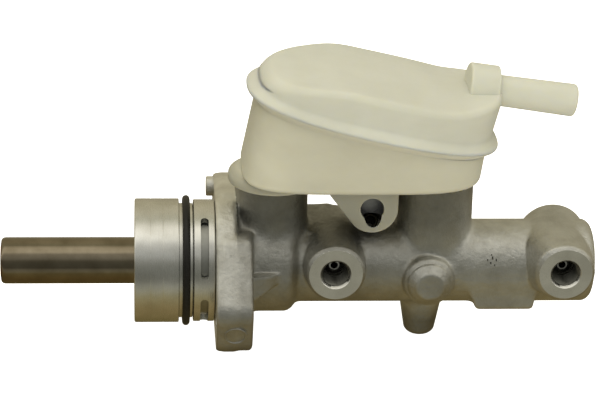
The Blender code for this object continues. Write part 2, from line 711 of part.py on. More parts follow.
def primary_piston(look, parent):
    """Long plunger: pushrod socket in its tail and a hollow skirt in front."""
    tail = PISTON_TAIL_X
    profile = [
        (tail + PUSHROD_SOCKET_DEPTH, 0),
        (tail + PUSHROD_SOCKET_DEPTH - 3, PUSHROD_SOCKET_R),
        (tail + 0.8, PUSHROD_SOCKET_R),
        (tail, PUSHROD_SOCKET_R + 0.8),
        (tail, PISTON_R - 2.2),
        (tail + 0.7, PISTON_R - 0.7),
        (tail + 2.2, PISTON_R),
        (PRIMARY_FRONT_X - 0.8, PISTON_R),
        (PRIMARY_FRONT_X, PISTON_R - 0.8),
        (PRIMARY_FRONT_X, SKIRT_R),
        (PRIMARY_FRONT_X - SKIRT_DEPTH, SKIRT_R),
        (PRIMARY_FRONT_X - SKIRT_DEPTH, BOLT_R + GAP),
        (BOLT_START_X - GAP, BOLT_R + GAP),
        (BOLT_START_X - GAP, 0),
    ]
    piston = turned("primary_piston", profile, look, parent, steps=INNER_STEPS)
    combine(piston, "DIFFERENCE", radial_holes("primary_feed_hole", 29.6, look))
    return piston


def secondary_piston(look, parent):
    """Short floating piston: recess for the guide bolt's head behind, hollow skirt in front."""
    profile = [
        (SECONDARY_REAR_X + RECESS_DEPTH, 0),
        (SECONDARY_REAR_X + RECESS_DEPTH, RECESS_R),
        (SECONDARY_REAR_X, RECESS_R),
        (SECONDARY_REAR_X, PISTON_R - 1),
        (SECONDARY_REAR_X + 1, PISTON_R),
        (SECONDARY_FRONT_X - 0.8, PISTON_R),
        (SECONDARY_FRONT_X, PISTON_R - 0.8),
        (SECONDARY_FRONT_X, SKIRT_R),
        (SECONDARY_FRONT_X - SKIRT_DEPTH, SKIRT_R),
        (SECONDARY_FRONT_X - SKIRT_DEPTH, 0),
    ]
    piston = turned("secondary_piston", profile, look, parent, steps=INNER_STEPS)
    combine(piston, "DIFFERENCE", radial_holes("secondary_feed_hole", 101.6, look))
    return piston


def spring_parts(look, primary, secondary, root):
    """Guide bolt, the cup that slides on it, and the seat at the blind end of the bore."""
    head_front = BOLT_HEAD_X + BOLT_HEAD_THICK
    bolt = [
        (BOLT_START_X, 0),
        (BOLT_START_X, BOLT_R),
        (BOLT_HEAD_X, BOLT_R),
        (BOLT_HEAD_X, BOLT_HEAD_R),
        (head_front - 0.4, BOLT_HEAD_R),
        (head_front, BOLT_HEAD_R - 0.4),
        (head_front, 0),
    ]
    turned("spring_guide_bolt", bolt, look, primary, steps=24)
    cup = [
        (CUP_REAR_X, BOLT_R + 0.5),
        (CUP_REAR_X, SPRING_R - WIRE_R - 0.35),
        (CUP_FRONT_X - 1.3, SPRING_R - WIRE_R - 0.35),
        (CUP_FRONT_X - 1.3, 9.2),
        (CUP_FRONT_X, 9.2),
        (CUP_FRONT_X, BOLT_HEAD_R + 0.55),
        (CUP_REAR_X + 1, BOLT_HEAD_R + 0.55),
        (CUP_REAR_X + 1, BOLT_R + 0.5),
    ]
    turned("primary_spring_cup", cup, look, secondary, steps=INNER_STEPS)
    seat = [
        (SEAT_CUP_X, 3.4),
        (SEAT_CUP_X, SPRING_R - WIRE_R - 0.35),
        (SEAT_CUP_X + 1.8, SPRING_R - WIRE_R - 0.35),
        (SEAT_CUP_X + 1.8, 9.6),
        (SEAT_CUP_X + 2.9, 9.6),
        (SEAT_CUP_X + 2.9, 3.4),
    ]
    turned("secondary_spring_seat", seat, look, root, steps=INNER_STEPS)


def coil(name, start, end, turns, look, parent):
    """A compression spring with its end turns closer together than the rest."""
    close_pitch = 2 * WIRE_R + 0.5
    low, high = start + WIRE_R, end - WIRE_R
    open_pitch = (high - low - 2 * close_pitch) / (turns - 2)
    curve = bpy.data.curves.new(name, "CURVE")
    curve.dimensions = "3D"
    curve.bevel_depth = WIRE_R * MM
    curve.bevel_resolution = 0
    curve.use_fill_caps = True
    spline = curve.splines.new("POLY")
    count = turns * SPRING_POINTS_PER_TURN
    spline.points.add(count)
    for i in range(count + 1):
        turn = i / SPRING_POINTS_PER_TURN
        x = low + close_pitch * min(turn, 1) + open_pitch * min(max(turn - 1, 0), turns - 2)
        x += close_pitch * max(turn - turns + 1, 0)
        y, z = polar(SPRING_R, math.tau * turn)
        spline.points[i].co = (x * MM, y * MM, z * MM, 1)
    curve.materials.append(look)
    item = bpy.data.objects.new(name, curve)
    item.parent = parent
    bpy.context.scene.collection.objects.link(item)
    return item


def main():
    clear_scene()
    cast = material("cast_aluminium", (0.42, 0.41, 0.37), 0.5, 1.0)
    machined = material("machined_aluminium", (0.72, 0.71, 0.66), 0.28, 1.0)
    anodised = material("dark_anodised_aluminium", (0.07, 0.055, 0.035), 0.3, 0.8)
    rubber = material("black_rubber", (0.015, 0.015, 0.013), 0.5, 0.0)
    plastic = material("translucent_plastic", (0.74, 0.72, 0.58), 0.4, 0.0)
    bronze = material("bearing_bush", (0.25, 0.17, 0.08), 0.4, 0.8)
    steel = material("zinc_steel", (0.5, 0.5, 0.5), 0.35, 1.0)
    spring_steel = material("spring_steel", (0.3, 0.3, 0.31), 0.35, 1.0)
    root = empty("root_frame")
    primary = empty("primary_axis")
    secondary = empty("secondary_axis")
    cylinder_body(cast, root)
    rear_guide_hub(machined, root)
    slotted_sleeve(machined, root)
    seals(rubber, root)
    hub_insides(bronze, spring_steel, root)
    port_seats(steel, root)
    grommets(rubber, root)
    reservoir_lower_shell(plastic, root)
    reservoir_upper_shell(plastic, root)
    hose_nipple(plastic, root)
    reservoir_baffle(plastic, root)
    reservoir_pin(spring_steel, root)
    primary_piston(anodised, primary)
    secondary_piston(anodised, secondary)
    spring_parts(steel, primary, secondary, root)
    coil("primary_spring", PRIMARY_FRONT_X - SKIRT_DEPTH + GAP, CUP_FRONT_X - 1.3 - GAP, 9, spring_steel, primary)
    seat_x = SEAT_CUP_X + 1.8 - GAP
    coil("secondary_spring", SECONDARY_FRONT_X - SKIRT_DEPTH + GAP, seat_x, 11, spring_steel, root)


main()
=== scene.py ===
"""Looks of the tandem brake master cylinder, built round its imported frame.

Sizes are in millimetres in the row frame: +X along the bore from the flange, +Z up, ports to -Y.
"""

import json
import math

import bmesh
import bpy
import numpy as np
from mathutils import Matrix, Vector, geometry


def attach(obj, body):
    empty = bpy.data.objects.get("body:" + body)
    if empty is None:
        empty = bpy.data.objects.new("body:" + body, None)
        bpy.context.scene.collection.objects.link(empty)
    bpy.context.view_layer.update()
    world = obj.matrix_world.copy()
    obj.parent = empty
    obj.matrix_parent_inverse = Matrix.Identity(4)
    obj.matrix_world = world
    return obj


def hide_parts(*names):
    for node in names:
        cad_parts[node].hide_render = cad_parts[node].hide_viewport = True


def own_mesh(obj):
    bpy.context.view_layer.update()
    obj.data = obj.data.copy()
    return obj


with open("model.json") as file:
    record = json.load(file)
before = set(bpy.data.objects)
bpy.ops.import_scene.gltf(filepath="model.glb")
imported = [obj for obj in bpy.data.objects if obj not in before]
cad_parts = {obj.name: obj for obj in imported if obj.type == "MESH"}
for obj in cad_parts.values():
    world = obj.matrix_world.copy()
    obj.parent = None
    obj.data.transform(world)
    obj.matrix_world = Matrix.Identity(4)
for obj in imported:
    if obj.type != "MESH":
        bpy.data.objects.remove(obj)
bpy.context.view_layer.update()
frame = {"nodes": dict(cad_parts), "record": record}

MM = 0.001

# Casting.
GRID_STEP = 0.8
BARREL_R = 18.45
FRONT_END_X = 168.5
SHOULDER_R = 22.7
SPIGOT_X = -19.4
SPIGOT_R = 19.0
FLANGE_THICK = 9.4
EAR_THICK = 15.8
FLANGE_R = 29.5
EAR_TILT = math.radians(20.6)
EAR_END = 45.8
EAR_HALF_WIDTH = 15.5
EAR_CORNER_R = 9.5
BOLT_RADIUS = 35.5
BOLT_HOLE_R = 4.5
TURRET_TOP_Z = 39.0
TURRETS = ((25.4, 15.2), (97.0, 16.8))
SOCKET_FLOOR_Z = 27.0
SOCKET_R = 11.2
PORT_XS = (52.0, 153.0)
PORT_Z = 5.5
PORT_FACE = 27.5
PORT_MOUTH_R = 6.8
THREAD_R = 5.75
THREAD_DEPTH = 12.5
SEAT_R = 4.6
BLIND_BOSS = (93.8, -1.5)
BORE_R = 10.9
# Each pit: x, degrees above the middle of the barrel's front, radius.
PITS = (
    (119.8, 24, 0.5),
    (121.2, 20, 0.6),
    (122.0, 27, 0.7),
    (122.9, 17, 0.5),
    (123.6, 24, 0.6),
    (121.6, 31, 0.45),
)
PISTON_R = 10.32

# Reservoir. FOOT is (centre x, half x, half y, power); HEAD and RIM are (half x, half y, power).
FLOOR_Z = 44.1
SEAM_TILT = math.radians(13.0)
SEAM_CENTRE = (67.8, 0.0, 71.25)
FOOT = (62.7, 52.1, 31.6, 4.0)
HEAD = (51.6, 33.4, 2.8)
RIM = (56.5, 36.8, 2.5)
RIM_THICK = 2.2
WALL = 2.6
LID_HIGH_Z = 91.8
LID_BEND_X = 53.0
LID_FLAT_X = 100.4
LID_LOW_Z = 80.7
LID_CROWN = 2.6
RING_POINTS = 192
PIN_MOUTH = (68.0, -15.0, 29.0)
PIN_SLOPE = math.radians(45)
NIPPLE_START = (108.5, 0.0, 83.0)
NIPPLE_TILT = math.radians(7.8)
NIPPLE_LENGTH = 48.4

ALONG_BORE = Matrix.Rotation(math.radians(90), 4, "Y")
TO_FRONT = Matrix.Rotation(math.radians(90), 4, "X")
TO_PIN = Matrix.Rotation(-math.radians(90) - PIN_SLOPE, 4, "X")
TO_NIPPLE = Matrix.Rotation(math.radians(90) + NIPPLE_TILT, 4, "Y")
UPRIGHT = Matrix.Identity(4)


# ---------------------------------------------------------------- materials


def shader_of(name, colour, roughness, metallic):
    look = bpy.data.materials.new(name)
    look.use_nodes = True
    shader = look.node_tree.nodes["Principled BSDF"]
    shader.inputs["Base Color"].default_value = (*colour, 1)
    shader.inputs["Roughness"].default_value = roughness
    shader.inputs["Metallic"].default_value = metallic
    return look, shader


def node(look, kind, **settings):
    made = look.node_tree.nodes.new(kind)
    for key, value in settings.items():
        if key in made.inputs:
            made.inputs[key].default_value = value
        else:
            setattr(made, key, value)
    return made


def link(look, source, output, target, socket):
    look.node_tree.links.new(source.outputs[output], target.inputs[socket])


def place(look, stretch=(1, 1, 1)):
    """Object coordinates in millimetres, stretched per axis."""
    where = node(look, "ShaderNodeTexCoord")
    scaled = node(look, "ShaderNodeMapping")
    scaled.inputs["Scale"].default_value = [1000 * s for s in stretch]
    link(look, where, "Object", scaled, "Vector")
    return scaled


def noise(look, coords, scale, detail=3.0, rough=0.55):
    made = node(look, "ShaderNodeTexNoise", Scale=scale, Detail=detail, Roughness=rough)
    link(look, coords, "Vector", made, "Vector")
    return made


def spread(look, source, output, low, high, start=0.3, end=0.7):
    """A value in 0..1 carried onto low..high."""
    made = node(look, "ShaderNodeMapRange")
    made.inputs["From Min"].default_value = start
    made.inputs["From Max"].default_value = end
    made.inputs["To Min"].default_value = low
    made.inputs["To Max"].default_value = high
    link(look, source, output, made, "Value")
    return made


def tint(look, shader, source, output, dark, light, start=0.3, end=0.7):
    ramp = node(look, "ShaderNodeValToRGB")
    ramp.color_ramp.elements[0].position = start
    ramp.color_ramp.elements[0].color = (*dark, 1)
    ramp.color_ramp.elements[1].position = end
    ramp.color_ramp.elements[1].color = (*light, 1)
    link(look, source, output, ramp, "Fac")
    link(look, ramp, "Color", shader, "Base Color")
    return ramp


def paint_light_and_shade(look, shader, colour, coords, steps):
    """Paints light and shade into a colour by place, brightening or darkening it: each step (axis, from, to,
    low, high) is in millimetres.
    """
    split = node(look, "ShaderNodeSeparateXYZ")
    link(look, coords, "Vector", split, "Vector")
    level = None
    for axis, start, end, low, high in steps:
        step = spread(look, split, axis, low, high, start, end)
        if level:
            both = node(look, "ShaderNodeMath", operation="MULTIPLY")
            link(look, level, 0, both, 0)
            link(look, step, "Result", both, 1)
            step = both
        level = step
    value = node(look, "ShaderNodeHueSaturation")
    link(look, level, 0, value, "Value")
    link(look, colour, "Color", value, "Color")
    link(look, value, "Color", shader, "Base Color")


def bumps(look, shader, layers):
    """Bump from (source, output, height in mm) layers, one after another."""
    before = None
    for source, output, height in layers:
        bump = node(look, "ShaderNodeBump", Strength=1.0, Distance=height * MM)
        link(look, source, output, bump, "Height")
        if before:
            link(look, before, "Normal", bump, "Normal")
        before = bump
    link(look, before, "Normal", shader, "Normal")


def cast_metal(name, steps):
    """As-cast aluminium, with light and shade painted into its colour by place by the given steps."""
    look, shader = shader_of(name, (0.5, 0.49, 0.45), 0.45, 1.0)
    coords = place(look)
    patches = noise(look, coords, 0.09, 4.0)
    peel = noise(look, coords, 0.45, 3.0)
    grain = noise(look, coords, 2.2, 2.0, 0.7)
    skin = tint(look, shader, patches, "Fac", (0.43, 0.42, 0.38), (0.57, 0.565, 0.53))
    paint_light_and_shade(look, shader, skin, coords, steps)
    rough = spread(look, peel, "Fac", 0.42, 0.58)
    link(look, rough, "Result", shader, "Roughness")
    bumps(look, shader, [(peel, "Fac", 0.3), (grain, "Fac", 0.1)])
    return look


def turned_metal(name, dark, light, roughness, along=(1, 0, 0), depth=0.012):
    """Machined metal with fine tool lines across the given axis."""
    look, shader = shader_of(name, light, roughness, 1.0)
    stretch = [9.0 if a else 0.12 for a in along]
    lines = noise(look, place(look, stretch), 1.0, 2.0)
    patches = noise(look, place(look), 0.12, 3.0)
    tint(look, shader, patches, "Fac", dark, light)
    rough = spread(look, lines, "Fac", roughness - 0.05, roughness + 0.07)
    link(look, rough, "Result", shader, "Roughness")
    bumps(look, shader, [(lines, "Fac", depth)])
    return look


def anodised_metal():
    look, shader = shader_of("dark_anodised_aluminium", (0.25, 0.2, 0.14), 0.1, 1.0)
    lines = noise(look, place(look, (0.03, 1.5, 1.5)), 1.0, 2.0)
    patches = noise(look, place(look), 0.1, 3.0)
    tint(look, shader, patches, "Fac", (0.20, 0.165, 0.11), (0.29, 0.245, 0.175))
    rough = spread(look, lines, "Fac", 0.07, 0.13)
    link(look, rough, "Result", shader, "Roughness")
    bumps(look, shader, [(lines, "Fac", 0.006)])
    return look


def rubber_look():
    look, shader = shader_of("black_rubber", (0.03, 0.027, 0.02), 0.42, 0.0)
    shader.inputs["Specular IOR Level"].default_value = 0.35
    grain = noise(look, place(look), 1.3, 3.0)
    tint(look, shader, grain, "Fac", (0.004, 0.004, 0.003), (0.010, 0.009, 0.007))
    rough = spread(look, grain, "Fac", 0.36, 0.5)
    link(look, rough, "Result", shader, "Roughness")
    bumps(look, shader, [(grain, "Fac", 0.03)])
    return look


def plastic_look(name, dark, light):
    """Moulded translucent polypropylene: a faint flow pattern, with painted shade along the tub's bottom edge
    and painted light towards both ends.
    """
    look, shader = shader_of(name, light, 0.38, 0.0)
    shader.inputs["IOR"].default_value = 1.49
    shader.inputs["Specular IOR Level"].default_value = 0.15
    shader.inputs["Subsurface Weight"].default_value = 0.85
    shader.inputs["Subsurface Radius"].default_value = (1.0, 0.9, 0.62)
    shader.inputs["Subsurface Scale"].default_value = 3.2 * MM
    flow = noise(look, place(look, (0.5, 0.5, 1.0)), 0.06, 3.0)
    coords = place(look)
    peel = noise(look, coords, 0.55, 2.0)
    skin = tint(look, shader, flow, "Fac", dark, light)
    paint_light_and_shade(look, shader, skin, coords, PLASTIC_PAINTED_LIGHT_AND_SHADE)
    rough = spread(look, peel, "Fac", 0.46, 0.6)
    link(look, rough, "Result", shader, "Roughness")
    bumps(look, shader, [(flow, "Fac", 0.5), (peel, "Fac", 0.035)])
    return look


def cavity_look():
    """The plastic deep in the pin's opening, where hardly any light comes back."""
    look, shader = shader_of("shaded_plastic", (0.1, 0.075, 0.045), 0.85, 0.0)
    shader.inputs["Specular IOR Level"].default_value = 0.1
    grain = noise(look, place(look), 0.3)
    tint(look, shader, grain, "Fac", (0.08, 0.06, 0.035), (0.12, 0.09, 0.055))
    return look


# Painted light and shade by place, as (axis, from, to, level at from, level at to).
# Painted light on the flange.
FLANGE_PAINTED_LIGHT = ("X", 8.5, 11, 1.15, 1.0)
# Painted light on the barrel's middle and front; painted shade high on the turrets and low under the barrel.
BODY_PAINTED_LIGHT_AND_SHADE = [
    ("X", 60, 85, 0.92, 1.12),
    ("X", 100, 118, 1.0, 1.12),
    ("Z", 16, 26, 1.0, 0.7),
    ("Z", -27, -19, 0.5, 1.0),
]
# Painted shade along the tub's bottom edge and painted light towards both ends of the reservoir.
PLASTIC_PAINTED_LIGHT_AND_SHADE = [
    ("Z", 44, 46, 0.63, 1.0),
    ("X", 8, 34, 1.15, 1.0),
    ("X", 104, 118, 1.0, 1.06),
]
CAST = cast_metal("cast_aluminium", [FLANGE_PAINTED_LIGHT, *BODY_PAINTED_LIGHT_AND_SHADE])
# A copy of the cast aluminium with painted light on the flange's upper edge.
LIT_FLANGE_CAST = cast_metal("cast_flange_painted_light", [FLANGE_PAINTED_LIGHT, ("X", 60, 85, 0.92, 1.0), ("Z", 15, 27, 1.0, 1.6)])
MACHINED = turned_metal("machined_aluminium", (0.66, 0.65, 0.60), (0.80, 0.79, 0.75), 0.27)
FACED = turned_metal("faced_aluminium", (0.72, 0.71, 0.66), (0.88, 0.87, 0.82), 0.32, (1, 1, 1), 0.01)
ANODISED = anodised_metal()
RUBBER = rubber_look()
# A darkened copy of machined aluminium: painted shade in the ports' threads and in the casting pits.
SHADED_HOLLOW_METAL = turned_metal("hollow_painted_shade_aluminium", (0.2, 0.195, 0.17), (0.29, 0.285, 0.25), 0.55, (1, 1, 1), 0.01)
# A darkened copy of machined aluminium: painted shade on the hub's neck under the sleeve.
SHADED_NECK_METAL = turned_metal("recessed_aluminium_painted_shade", (0.36, 0.36, 0.33), (0.46, 0.46, 0.43), 0.4)
LID_PLASTIC = plastic_look("lid_plastic", (0.61, 0.605, 0.505), (0.665, 0.66, 0.56))
TUB_PLASTIC = plastic_look("tub_plastic", (0.56, 0.54, 0.42), (0.62, 0.6, 0.475))
CAVITY = cavity_look()
PIN_STEEL = turned_metal("dark_pin_steel", (0.03, 0.028, 0.022), (0.06, 0.055, 0.045), 0.5, (1, 1, 1), 0.01)
STEEL = turned_metal("zinc_steel", (0.45, 0.45, 0.44), (0.62, 0.62, 0.60), 0.3)
SPRING = turned_metal("spring_steel", (0.26, 0.26, 0.27), (0.4, 0.4, 0.41), 0.33, (1, 1, 1), 0.01)
BUSH = turned_metal("bearing_bush", (0.20, 0.13, 0.06), (0.32, 0.22, 0.11), 0.35)


# ---------------------------------------------------------------- mesh tools


def mesh_object(name, points, faces, look):
    """An object from points in millimetres and faces of any size."""
    mesh = bpy.data.meshes.new(name)
    mesh.from_pydata([tuple(p) for p in np.asarray(points) * MM], [], faces)
    mesh.materials.append(look)
    mesh.validate()
    made = bpy.data.objects.new(name, mesh)
    bpy.context.scene.collection.objects.link(made)
    return made


def outward(item):
    bm = bmesh.new()
    bm.from_mesh(item.data)
    bmesh.ops.remove_doubles(bm, verts=bm.verts, dist=1e-7)
    bmesh.ops.recalc_face_normals(bm, faces=bm.faces)
    bm.to_mesh(item.data)
    bm.free()
    return item


def ring_stack(name, rings, look, loop=False):
    """A closed body through equal rings of points, capped at both ends unless loop joins them."""
    count = len(rings[0])
    points = np.concatenate([np.asarray(r, float) for r in rings])
    faces = []
    pairs = list(zip(range(len(rings)), range(1, len(rings))))
    if loop:
        pairs.append((len(rings) - 1, 0))
    for a, b in pairs:
        for i in range(count):
            j = (i + 1) % count
            faces.append((a * count + i, a * count + j, b * count + j, b * count + i))
    if not loop:
        for start in (0, (len(rings) - 1) * count):
            middle = points[start : start + count].mean(0)
            points = np.vstack([points, middle])
            hub = len(points) - 1
            faces += [(start + i, start + (i + 1) % count, hub) for i in range(count)]
    return outward(mesh_object(name, points, faces, look))


def eased(profile, steps=4):
    """A profile of (along, radius[, edge]) corners with each edge radius worked in as an arc."""
    done = []
    for i, corner in enumerate(profile):
        here = Vector(corner[:2])
        if len(corner) < 3:
            done.append(tuple(here))
            continue
        before = Vector(profile[i - 1][:2]) - here
        after = Vector(profile[(i + 1) % len(profile)][:2]) - here
        reach = min(corner[2], before.length * 0.48, after.length * 0.48)
        start, end = here + before.normalized() * reach, here + after.normalized() * reach
        for k in range(steps + 1):
            t = k / steps
            done.append(tuple(start.lerp(here, t).lerp(here.lerp(end, t), t)))
    return done


def lathe(name, profile, look, at=(0, 0, 0), turn=ALONG_BORE, steps=128):
    """A body turned from (along, radius[, edge]) corners; a ring if no corner is on the axis."""
    corners = eased(profile)
    angles = np.arange(steps) * math.tau / steps
    closed = min(r for _, r in corners) > 0
    if not closed:
        corners = corners[1:-1] if corners[0][1] == 0 else corners
    rings = [np.stack([r * np.cos(angles), r * np.sin(angles), np.full(steps, a)], 1) for a, r in corners]
    move = np.array(Matrix.Translation(at) @ turn)
    rings = [ring @ move[:3, :3].T + move[:3, 3] for ring in rings]
    return ring_stack(name, rings, look, loop=closed)


def prism(name, outline, low, high, spot, look, edge=0.0):
    """A convex outline of (u, v) drawn from low to high, its two rims rounded by edge."""
    outline = np.array(outline, float)
    middle = outline.mean(0)
    reach = np.linalg.norm(outline - middle, axis=1, keepdims=True)
    rows = [(low, 0.0), (high, 0.0)]
    if edge:
        arc = [math.radians(a) for a in (0, 30, 60, 90)]
        rows = [(low + edge * (1 - math.sin(a)), edge * (1 - math.cos(a))) for a in arc[::-1]]
        rows += [(high - edge * (1 - math.sin(a)), edge * (1 - math.cos(a))) for a in arc]
    rings = []
    for depth, inset in rows:
        shrunk = middle + (outline - middle) * (1 - inset / reach)
        rings.append([spot(u, v, depth) for u, v in shrunk])
    return ring_stack(name, rings, look)


def combine(target, operation, tools):
    """Joins tools to the target or cuts them from it, and drops the tools."""
    for tool in tools:
        modifier = target.modifiers.new("cut", "BOOLEAN")
        modifier.operation = operation
        modifier.solver = "MANIFOLD"
        modifier.object = tool
    graph = bpy.context.evaluated_depsgraph_get()
    made = bpy.data.meshes.new_from_object(target.evaluated_get(graph))
    target.modifiers.clear()
    target.data = made
    for tool in tools:
        bpy.data.objects.remove(tool)
    return target


def face_vectors(mesh, attribute):
    """One vector per face: its center or its normal."""
    values = np.empty(len(mesh.polygons) * 3)
    mesh.polygons.foreach_get(attribute, values)
    return values.reshape(-1, 3)


def finish_piece(item, body, *nodes, slot=None, sharp=32):
    """Shades the piece, puts it on its body and has it stand for its CAD nodes."""
    item.data.shade_smooth()
    item.data.set_sharp_from_angle(angle=math.radians(sharp))
    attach(item, body)
    if nodes:
        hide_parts(*nodes)
    return item


# ---------------------------------------------------------------- distance fields


def slab(outline, along, low, high, edge):
    """Distance to an outline drawn from low to high, with rounded rims."""
    out = outline + edge
    end = np.abs(along - (low + high) / 2) - ((high - low) / 2 - edge)
    return np.minimum(np.maximum(out, end), 0) + np.hypot(np.maximum(out, 0), np.maximum(end, 0)) - edge


def join(a, b, fillet):
    """The union of two distances, filleted."""
    near = np.maximum(fillet - np.abs(a - b), 0) / fillet
    return np.minimum(a, b) - near**3 * fillet / 6


def meet(a, b, fillet):
    """The overlap of two distances, its edge rounded."""
    return -join(-a, -b, fillet)


def convex_outline(points):
    return [points[i] for i in geometry.convex_hull_2d(points)]


def outline_distance(u, v, outline):
    """Signed distance to a convex outline."""
    if sum(a[0] * b[1] - a[1] * b[0] for a, b in zip(outline, outline[1:] + outline[:1])) < 0:
        outline = outline[::-1]
    outside, inside = 1e9, -1e9
    for (au, av), (bu, bv) in zip(outline, outline[1:] + outline[:1]):
        eu, ev = bu - au, bv - av
        length = math.hypot(eu, ev)
        du, dv = u - au, v - av
        share = np.clip((du * eu + dv * ev) / length**2, 0, 1)
        outside = np.minimum(outside, np.hypot(du - eu * share, dv - ev * share))
        inside = np.maximum(inside, (du * ev - dv * eu) / length)
    return np.where(inside < 0, inside, outside)


def surface_net(distance, low, high, step):
    """(points, quads) of the surface where distance is 0, its points drawn onto that surface."""
    axes = [np.arange(a, b + step, step) for a, b in zip(low, high)]
    field = distance(axes[0][:, None, None], axes[1][None, :, None], axes[2][None, None, :])
    inside = field < 0
    size = np.array(field.shape) - 1
    count = np.zeros(size, np.int8)
    corners = [(i, j, k) for i in (0, 1) for j in (0, 1) for k in (0, 1)]
    for i, j, k in corners:
        count += inside[i : i + size[0], j : j + size[1], k : k + size[2]]
    active = (count > 0) & (count < 8)
    cells = np.argwhere(active)
    index = np.full(size, -1, np.int64)
    index[active] = np.arange(len(cells))
    total, hits = np.zeros((len(cells), 3)), np.zeros(len(cells))
    for axis in range(3):
        step_to = np.eye(3, dtype=int)[axis]
        for corner in corners:
            if corner[axis]:
                continue
            first = field[tuple((cells + corner).T)]
            second = field[tuple((cells + corner + step_to).T)]
            cross = (first < 0) != (second < 0)
            share = first[cross] / (first[cross] - second[cross])
            total[cross] += np.array(corner) + share[:, None] * step_to
            hits[cross] += 1
    points = np.array(low) + (cells + total / hits[:, None]) * step
    quads = []
    for axis in range(3):
        other, third = (axis + 1) % 3, (axis + 2) % 3
        ahead = np.moveaxis(inside, (axis, other, third), (0, 1, 2))
        numbers = np.moveaxis(index, (axis, other, third), (0, 1, 2))
        change = ahead[:-1, 1:-1, 1:-1] != ahead[1:, 1:-1, 1:-1]
        a, j, k = np.nonzero(change)
        around = ((j, k), (j + 1, k), (j + 1, k + 1), (j, k + 1))
        quad = np.stack([numbers[a, b, c] for b, c in around], 1)
        turned = ~ahead[a, j + 1, k + 1]
        quad[turned] = quad[turned][:, ::-1]
        quads.append(quad)
    shift = 0.02
    for _ in range(4):
        x, y, z = points.T
        here = distance(x, y, z)
        slope = np.stack(
            [
                distance(x + shift, y, z) - here,
                distance(x, y + shift, z) - here,
                distance(x, y, z + shift) - here,
            ],
            1,
        ) / shift
        move = here[:, None] * slope / np.maximum((slope**2).sum(1, keepdims=True), 0.05)
        points -= np.clip(move, -0.4 * step, 0.4 * step)
    return points, np.concatenate(quads).tolist()


# ---------------------------------------------------------------- the casting


def ear_point(along, across, side):
    """(y, z) of a point on the line of the two bolts; side 1 is the lower ear at the front."""
    y = -math.cos(EAR_TILT) * along - math.sin(EAR_TILT) * across
    z = -math.sin(EAR_TILT) * along + math.cos(EAR_TILT) * across
    return side * y, side * z


def flange_outlines():
    """Outlines of the plate and of the two thick ears, drawn in by their corner radii."""
    corner, offset = EAR_END - EAR_CORNER_R, EAR_HALF_WIDTH - EAR_CORNER_R
    ends = {s: [ear_point(corner, a, s) for a in (-offset, offset)] for s in (1, -1)}
    round_r = FLANGE_R - EAR_CORNER_R
    disc = [(round_r * math.cos(a), round_r * math.sin(a)) for a in np.arange(64) * math.tau / 64]
    plate = convex_outline(disc + ends[1] + ends[-1])
    ears = []
    for s in (1, -1):
        tip = [ear_point(EAR_END - 9, a, s) for a in (-6.5, 6.5)]
        root = [ear_point(13.3, a, s) for a in (-18.3, 18.3)]
        ears.append(convex_outline(tip + root))
    return plate, ears


PLATE_OUTLINE, EAR_OUTLINES = flange_outlines()
WEB_OUTLINE = [(42.0, 5.0), (56.0, 5.0), (56.0, 11.5), (50.5, 19.7), (42.5, 19.7), (42.0, 19.2)]


def port_boss(x, y, z, port_x, swell):
    """A drafted boss across the barrel; swell widens and squares its rear side near the barrel."""
    along = -y
    swell = swell * (x < port_x)
    swell = swell * np.clip((along + 14) / 12, 0, 1) * np.clip((PORT_FACE - along) / 12, 0, 1)
    power = 2 + 5 * swell
    wide, high = np.abs(x - port_x) / (1 + swell), np.abs(z - PORT_Z)
    radial = (wide**power + high**power) ** (1 / power)
    rod = slab(radial - 14.4 + 0.06 * (along - 4), along, -15.5, PORT_FACE + 1.5, 2.2)
    chamfer = 0.74 * (along - PORT_FACE) + 0.673 * (radial - 11.7)
    return meet(rod, chamfer, 0.5)


def turret(x, y, z, turret_x, radius):
    """A drafted reservoir turret."""
    radial = np.hypot(x - turret_x, y)
    return slab(radial - radius - 0.012 * (TURRET_TOP_Z - z), z, -4, TURRET_TOP_Z + 2, 0.8)


def back_web(x, y, z):
    """The web beside the rear port boss, its top sloping across the bore."""
    front, back, top, edge = -8, 15.5, 21.0, 1.5
    web = slab(outline_distance(x, z, WEB_OUTLINE) - edge, y, front, back, edge)
    return meet(web, 0.986 * (z - top) + 0.168 * (back - y), 1.0)


def blind_boss(x, y, z):
    """The undrilled boss on the front, with a smaller chamfered step on it."""
    along, step_face = -y, 26.0
    radial = np.hypot(x - BLIND_BOSS[0], z - BLIND_BOSS[1])
    boss = slab(radial - 11.4, along, -4, 21.8, 2.6)
    step = slab(radial - 9.5, along, -4, step_face, 0.8)
    step = meet(step, 0.74 * (along - step_face) + 0.673 * (radial - 5.9), 0.5)
    return join(boss, step, 0.8)


def under_boss(x, y, z):
    """The drafted boss under the barrel."""
    radial = np.hypot(x - 93.0, y)
    return slab(radial - 7.0 - 0.17 * (z + 32.5), -z, -2, 35.2, 3.0)


def underside_pad(x, y, z):
    """The flat pad under the barrel, between two sloping ends."""
    above_face = z + 17.0
    rear_end = -0.944 * (x - 115.9) - 0.33 * above_face
    front_end = 0.989 * (x - 141.4) - 0.148 * above_face
    pad = meet(np.abs(y) - 17.2, np.maximum(rear_end, front_end), 2.0)
    return np.maximum(meet(pad, -above_face, 3.0), z + 3)


def gusset(x, y, z):
    """The tapering rib from the flange along the front of the shoulder."""
    ahead = x - 18
    rib = slab(np.abs(z + 1.0 - 0.27 * ahead) - 5.1 + 0.27 * ahead, x, 4, 29.5, 1.0)
    rib = meet(rib, -y - 27.6 + 0.22 * ahead, 1.0)
    rib = meet(rib, 0.55 * (x - 28.0) + 0.835 * (-y - 22.5), 1.5)
    return np.maximum(rib, y + 14)


